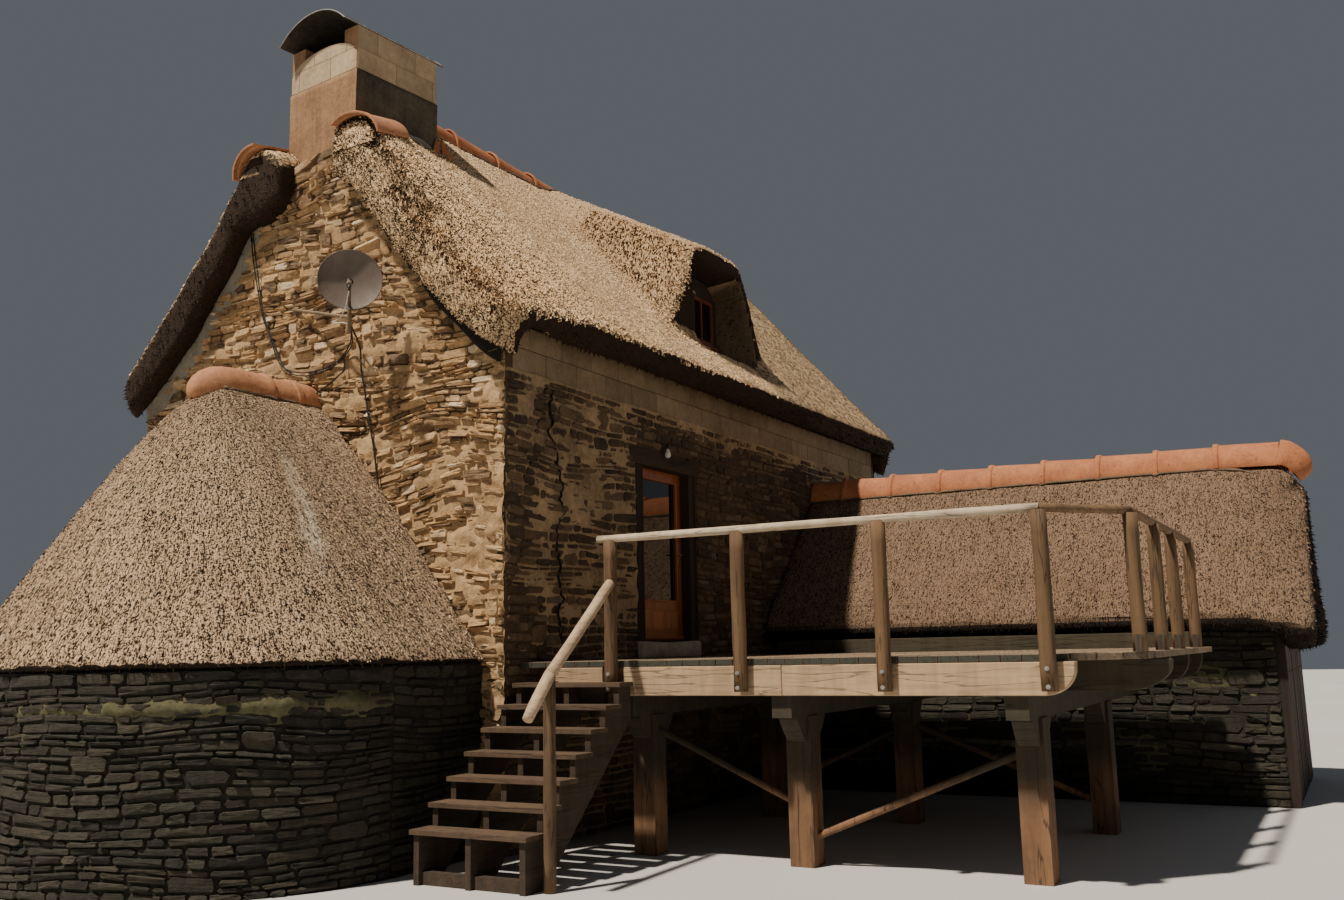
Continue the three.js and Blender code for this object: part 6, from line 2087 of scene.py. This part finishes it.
def make_verge_plug(name, middle, foot, half, height, inset, kind, seed):
    """The rolled end of the thatch that fills a verge tile, bristling with cut straw."""
    heap = Heap()
    rows = []
    spread = 18
    for x, size in ((-0.535, 0.9), (-0.548, 0.8), (-0.552, 0.5), (-0.553, 0.15)):
        ring = [-0.2 + (math.pi + 0.4) * k / spread for k in range(spread + 1)]
        rows.append([(x + inset, middle - math.cos(a) * half * size, foot + math.sin(a) * height * size)
                     for a in ring])
    back = [(-0.2, y, z) for _, y, z in rows[0]]
    rows.insert(0, back)
    n = spread + 1
    verts = [p for row in rows for p in row]
    faces = []
    for i in range(len(rows) - 1):
        for k in range(spread):
            faces.append((i * n + k, i * n + k + 1, (i + 1) * n + k + 1, (i + 1) * n + k))
        faces.append((i * n, (i + 1) * n, (i + 1) * n + spread, i * n + spread))
    faces.append(tuple(range(n)))
    faces.append(tuple((len(rows) - 1) * n + k for k in range(n)))
    heap.add(verts, faces, 0.5)
    rng = random.Random(seed)
    for _ in range(1000):
        a, r = rng.uniform(-0.5, math.pi + 0.5), math.sqrt(rng.random())
        y, z = middle - math.cos(a) * half * 0.97 * r, foot + math.sin(a) * height * 0.97 * r
        across = (CHIMNEY_TURN.inverted() @ (Vector((-0.55, y, 0)) - CHIMNEY_CORNER)).y
        if 0 < across < CHIMNEY_WIDE:
            continue
        w = rng.uniform(0.005, 0.011)
        tip = (-0.556 + inset - rng.uniform(0.0, 0.012), y + rng.uniform(-0.008, 0.008),
               z + rng.uniform(-0.01, 0.006))
        base = [(-0.54 + inset, y + w * math.cos(t), z + w * math.sin(t)) for t in (0.3, 2.4, 4.5)]
        heap.add(base + [tip], [(0, 1, 2), (0, 3, 1), (1, 3, 2), (2, 3, 0)], rng.random())
    plug = heap.make(name, finish(kind))
    tidy_normals(plug)
    clip_at_chimney(plug)


def make_tile_mortar():
    """Mortar bedding that squeezes out under the tile rows."""
    rows = [("wing_ridge_tiles", "wing_thatch", 1, (-8.02, -2.4)),
            ("ridge_tiles", "main_thatch", 0, (0.88, 3.85)),
            ("leanto_tiles", "leanto_thatch", 0, (-1.46, -0.32))]
    for tiles, roof, axis, (start, stop) in rows:
        low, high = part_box(tiles)
        tile_tree, roof_tree = bvh_of(tiles), bvh_of(roof)
        heap = Heap()
        for way in (-1, 1):
            line = []
            count = int((stop - start) / 0.03)
            for i in range(count + 1):
                at = start + (stop - start) * i / count
                if axis == 1:
                    p, inward = Vector(((low.x + high.x) / 2 + way * 0.4, at, 9)), Vector((-way, 0, 0))
                else:
                    p, inward = Vector((at, (low.y + high.y) / 2 + way * 0.4, 9)), Vector((0, -way, 0))
                for k in range(60):
                    q = p + inward * (k * 0.008)
                    if tile_tree.ray_cast(q, Vector((0, 0, -1)), 9)[0] is not None:
                        hit = roof_tree.ray_cast(q - inward * 0.006, Vector((0, 0, -1)), 9)
                        if hit[0] is not None:
                            line.append((hit[0], inward))
                        break
            verts = []
            faces = []
            for i, (p, inward) in enumerate(line):
                rough = lumps(i * 0.1, way * 3.0, 2.2, 17)
                reach = 0.012 + 0.02 * max(rough + 0.25, 0.0)
                section = ((reach, -0.012), (reach * 0.6, 0.004), (0.0, 0.012 + 0.012 * rough), (-0.02, 0.01),
                           (-0.02, -0.02))
                for out, rise in section:
                    verts.append(tuple(p - inward * out + Vector((0, 0, rise + 0.004))))
                if i:
                    a, b = (i - 1) * 5, i * 5
                    for k in range(5):
                        faces.append((a + k, a + (k + 1) % 5, b + (k + 1) % 5, b + k))
            if len(line) > 1:
                n = len(line) - 1
                faces.append(tuple(range(5)))
                faces.append(tuple(n * 5 + k for k in range(5)))
                heap.add(verts, faces, 0.4)
        bed = heap.make(tiles + "_bedding", finish("dark_bedding"), smooth=True)
        tidy_normals(bed)


# Finishes of the nodes that stay
NODE_FINISH = {
    "gable_wall": "earth_mortar",
    "far_gable_wall": "earth_mortar",
    "front_wall_left": "lime_mortar",
    "front_wall_right": "earth_mortar",
    "front_wall_over_door": "earth_mortar",
    "front_wall_under_door": "earth_mortar",
    "back_wall": "earth_mortar",
    "front_block_course": "block_joint",
    "back_block_course": "block_joint",
    "upper_floor": "floor_planks",
    "attic_floor": "floor_planks",
    "door_lintel": "dark_timber",
    "door_step": "worn_step",
    "door_frame": "dark_timber_up",
    "door_leaf": "varnished_door",
    "door_pane": "window_glass",
    "main_thatch": "pale_thatch",
    "dormer_frame": "dark_timber_up",
    "dormer_pane_left": "window_glass",
    "dormer_pane_right": "window_glass",
    "ridge_tiles": "terracotta",
    "verge_tile_front": "terracotta",
    "verge_tile_back": "terracotta",
    "chimney_stack": "chimney_render",
    "chimney_cap": "sheet_metal",
    "leanto_thatch": "leanto_thatch",
    "leanto_tiles": "terracotta",
    "wing_end_boards": "dark_timber_up",
    "wing_thatch": "brown_thatch",
    "wing_ridge_tiles": "terracotta",
    "deck_floor": "deck_along",
    "deck_joists": "deck_across",
    "deck_posts_front": "deck_upright",
    "deck_posts_back": "deck_upright",
    "deck_rail": "brown_pole",
    # The carriages take the dark wood, as painted shade
    "stair_carriages": "carriage_wood",
    "stair_handrail": "bleached_pole",
    "dish": "dish_paint",
    "dish_bracket": "bracket_paint",
}
# The lean-to and wing walls take the dark mortar, which also paints their shade
for _start, _finish in (("leanto_wall", "mossy_mortar"), ("leanto_arc", "mossy_mortar"),
                        ("wing_wall", "mossy_mortar"), ("deck_crossbeam", "shaded_beam"),
                        ("stair_tread", "tread_wood")):
    for _node in NODES:
        if _node.startswith(_start):
            NODE_FINISH[_node] = _finish


def finish_nodes():
    for node, kind in NODE_FINISH.items():
        NODES[node].data.materials.clear()
        NODES[node].data.materials.append(finish(kind))


# Stage
def make_floor():
    size = 60.0
    verts = [(-size, -size, 0), (size, -size, 0), (size, size, 0), (-size, size, 0)]
    mesh = bpy.data.meshes.new("studio_floor")
    mesh.from_pydata(verts, [], [(0, 1, 2, 3)])
    floor = bpy.data.objects.new("studio_floor", mesh)
    bpy.context.scene.collection.objects.link(floor)
    material, tree, shader, place, _ = start_material("studio_floor")
    soft = noise_of(tree, place, 0.3, 2.0, 0.5)
    shades = [(0.3, (0.48, 0.475, 0.46, 1)), (0.7, (0.52, 0.515, 0.5, 1))]
    tree.links.new(ramp(tree, soft, shades), shader.inputs["Base Color"])
    shader.inputs["Roughness"].default_value = 0.9
    floor.data.materials.append(material)
    floor.location.z = -0.002


def make_lights(settings):
    world = bpy.data.worlds.new("studio")
    bpy.context.scene.world = world
    world.use_nodes = True
    background = world.node_tree.nodes["Background"]
    background.inputs["Color"].default_value = (0.74, 0.8, 0.9, 1)
    background.inputs["Strength"].default_value = settings.fill
    key = bpy.data.lights.new("key", "SUN")
    key.energy = settings.key
    key.angle = math.radians(settings.softness)
    key.color = (1.0, 0.9, 0.76)
    lamp = bpy.data.objects.new("key", key)
    bpy.context.scene.collection.objects.link(lamp)
    travel = Vector((0.433, -0.2, -0.879)).normalized()
    lamp.rotation_euler = travel.to_track_quat("-Z", "Y").to_euler()


CAMERA_PLACE = (-8.506, -8.656, 1.648)
CAMERA_HEADING = 29.486
CAMERA_RISE = 9.394
CAMERA_ROLL = -1.21


def make_camera():
    heading, rise, roll = (math.radians(a) for a in (CAMERA_HEADING, CAMERA_RISE, CAMERA_ROLL))
    ahead = Vector((math.cos(rise) * math.cos(heading), math.cos(rise) * math.sin(heading), math.sin(rise)))
    level = Vector((math.sin(heading), -math.cos(heading), 0))
    up = level.cross(ahead)
    right = level * math.cos(roll) + up * math.sin(roll)
    top = up * math.cos(roll) - level * math.sin(roll)
    camera = bpy.data.cameras.new("camera")
    camera.sensor_fit = "HORIZONTAL"
    camera.sensor_width = 36.0
    camera.lens = 32.27
    camera.clip_end = 300
    holder = bpy.data.objects.new("camera", camera)
    bpy.context.scene.collection.objects.link(holder)
    turned = Matrix((right, top, -ahead)).transposed().to_4x4()
    holder.matrix_world = Matrix.Translation(Vector(CAMERA_PLACE)) @ turned
    bpy.context.scene.camera = holder


# Settings
class CottageStone(bpy.types.PropertyGroup):
    proud: bpy.props.FloatProperty(
        name="Stones proud", description="How far the stones stand out, as a share of the usual",
        default=1.0, min=0.2, max=1.5, subtype="FACTOR")


class CottageThatch(bpy.types.PropertyGroup):
    density: bpy.props.FloatProperty(
        name="Straw density", description="How much loose straw lies on the thatch, as a share of the usual",
        default=1.0, min=0.1, max=1.2, subtype="FACTOR")


class CottageDeck(bpy.types.PropertyGroup):
    pitch: bpy.props.FloatProperty(
        name="Board pitch", description="From one deck board to the next",
        default=0.147, min=0.1, max=0.2, unit="LENGTH")
    gap: bpy.props.FloatProperty(
        name="Board gap", description="Slit between two deck boards",
        default=0.009, min=0.002, max=0.02, unit="LENGTH")
    wobble: bpy.props.FloatProperty(
        name="Pole unevenness", description="How far the round poles stray from true",
        default=0.004, min=0.0, max=0.01, unit="LENGTH")


class CottageStage(bpy.types.PropertyGroup):
    key: bpy.props.FloatProperty(
        name="Key light", description="Strength of the main light", default=6.0, min=0.0, max=12.0)
    fill: bpy.props.FloatProperty(
        name="Fill light", description="Strength of the light from all round", default=0.15, min=0.0, max=3.0)
    softness: bpy.props.FloatProperty(
        name="Softness", description="Width of the main light in degrees, which softens its shadows",
        default=2.5, min=0.5, max=30.0)


# Operators
class COTTAGE_OT_stage(bpy.types.Operator):
    """Make the floor, the lights and the camera"""
    bl_idname = "cottage.stage"
    bl_label = "Stage"

    def execute(self, context):
        make_camera()
        make_floor()
        make_lights(context.scene.cottage_stage)
        return {"FINISHED"}


class COTTAGE_OT_node_finishes(bpy.types.Operator):
    """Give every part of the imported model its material"""
    bl_idname = "cottage.node_finishes"
    bl_label = "Finishes"

    def execute(self, context):
        finish_nodes()
        return {"FINISHED"}


class COTTAGE_OT_stones(bpy.types.Operator):
    """Lay the stones of the main walls, the lean-to and the wing"""
    bl_idname = "cottage.stones"
    bl_label = "Stone Walls"

    def execute(self, context):
        make_stones(context.scene.cottage_stone.proud)
        return {"FINISHED"}


class COTTAGE_OT_mortar(bpy.types.Operator):
    """Spread the lime coats, the verge joints and the crack"""
    bl_idname = "cottage.mortar"
    bl_label = "Mortar"

    def execute(self, context):
        make_front_mortar()
        make_crack()
        make_low_mortar()
        make_verge_mortar_and_shadow()
        return {"FINISHED"}


class COTTAGE_OT_blocks(bpy.types.Operator):
    """Lay the two block courses under the eaves"""
    bl_idname = "cottage.blocks"
    bl_label = "Block Courses"

    def execute(self, context):
        make_block_courses()
        return {"FINISHED"}


class COTTAGE_OT_chimney(bpy.types.Operator):
    """Coat the chimney, lay its top blocks, hem its cap and bed its foot"""
    bl_idname = "cottage.chimney"
    bl_label = "Chimney"

    def execute(self, context):
        make_chimney_coat()
        make_chimney_blocks()
        make_cap_hem()
        make_chimney_fillet()
        make_chimney_shards()
        make_broken_tile()
        return {"FINISHED"}


class COTTAGE_OT_openings(bpy.types.Operator):
    """Fit the door's beads and plate, its worn step, the dormer's casements and the lamp"""
    bl_idname = "cottage.openings"
    bl_label = "Door, Dormer and Lamp"

    def execute(self, context):
        make_door_details()
        make_door_step()
        make_dormer_details()
        make_lamp()
        return {"FINISHED"}


class COTTAGE_OT_dish(bpy.types.Operator):
    """Rim and receiver of the dish, and the cables and iron on the gable"""
    bl_idname = "cottage.dish"
    bl_label = "Dish and Cables"

    def execute(self, context):
        make_dish_details()
        return {"FINISHED"}


class COTTAGE_OT_wing_end(bpy.types.Operator):
    """Board up the end of the wing"""
    bl_idname = "cottage.wing_end"
    bl_label = "Wing End"

    def execute(self, context):
        make_wing_end()
        return {"FINISHED"}


class COTTAGE_OT_tiles(bpy.types.Operator):
    """Lay the half-round tiles and the mortar under them"""
    bl_idname = "cottage.tiles"
    bl_label = "Roof Tiles"

    def execute(self, context):
        make_roof_tiles()
        make_tile_mortar()
        return {"FINISHED"}


class COTTAGE_OT_straw(bpy.types.Operator):
    """Roll over the edges of the three thatched roofs and lay loose straw and ragged ends on them"""
    bl_idname = "cottage.straw"
    bl_label = "Thatch Straw"

    def execute(self, context):
        density = context.scene.cottage_thatch.density
        soften_thatch("main_thatch", "main_thatch_soft", "pale_thatch", 0.055, 13,
                      ["ridge_tiles", "verge_tile_front", "verge_tile_back"],
                      [under_verge_tile(-0.72, 6.5, 0.31, 0.22, -1),
                       under_verge_tile(0.56, 6.44, 0.3, 0.26, 1)])
        soften_thatch("leanto_thatch", "leanto_thatch_soft", "leanto_thatch", 0.05, 5, ["leanto_tiles"])
        soften_thatch("wing_thatch", "wing_thatch_soft", "brown_thatch", 0.055, 7, ["wing_ridge_tiles"],
                      [under_ridge_end()])
        make_straw(density)
        return {"FINISHED"}


class COTTAGE_OT_deck(bpy.types.Operator):
    """Lay the deck boards with their screws and set up the rail"""
    bl_idname = "cottage.deck"
    bl_label = "Deck"

    def execute(self, context):
        settings = context.scene.cottage_deck
        make_deck_boards(settings.pitch, settings.gap)
        make_deck_beams()
        make_deck_rail(settings.wobble)
        make_stair_details(settings.wobble)
        return {"FINISHED"}


OPERATORS = [
    COTTAGE_OT_stage,
    COTTAGE_OT_node_finishes,
    COTTAGE_OT_stones,
    COTTAGE_OT_mortar,
    COTTAGE_OT_blocks,
    COTTAGE_OT_chimney,
    COTTAGE_OT_openings,
    COTTAGE_OT_dish,
    COTTAGE_OT_wing_end,
    COTTAGE_OT_tiles,
    COTTAGE_OT_straw,
    COTTAGE_OT_deck,
]


class COTTAGE_PT_panel(bpy.types.Panel):
    """The cottage's settings and pieces"""
    bl_label = "Thatched Cottage"
    bl_idname = "COTTAGE_PT_panel"
    bl_space_type = "VIEW_3D"
    bl_region_type = "UI"
    bl_category = "Cottage"

    def draw(self, context):
        for name, group in SETTINGS.items():
            settings = getattr(context.scene, name)
            for key in group.__annotations__:
                self.layout.prop(settings, key)
        for operator in OPERATORS:
            self.layout.operator(operator.bl_idname)


SETTINGS = {
    "cottage_stone": CottageStone,
    "cottage_thatch": CottageThatch,
    "cottage_deck": CottageDeck,
    "cottage_stage": CottageStage,
}


def register():
    for group in SETTINGS.values():
        bpy.utils.register_class(group)
    for operator in OPERATORS:
        bpy.utils.register_class(operator)
    bpy.utils.register_class(COTTAGE_PT_panel)
    for name, group in SETTINGS.items():
        setattr(bpy.types.Scene, name, bpy.props.PointerProperty(type=group))


def unregister():
    for name in SETTINGS:
        delattr(bpy.types.Scene, name)
    bpy.utils.unregister_class(COTTAGE_PT_panel)
    for operator in reversed(OPERATORS):
        bpy.utils.unregister_class(operator)
    for group in reversed(list(SETTINGS.values())):
        bpy.utils.unregister_class(group)


def main():
    register()
    for operator in OPERATORS:
        folder, name = operator.bl_idname.split(".")
        getattr(getattr(bpy.ops, folder), name)()


if __name__ == "__main__":
    main()
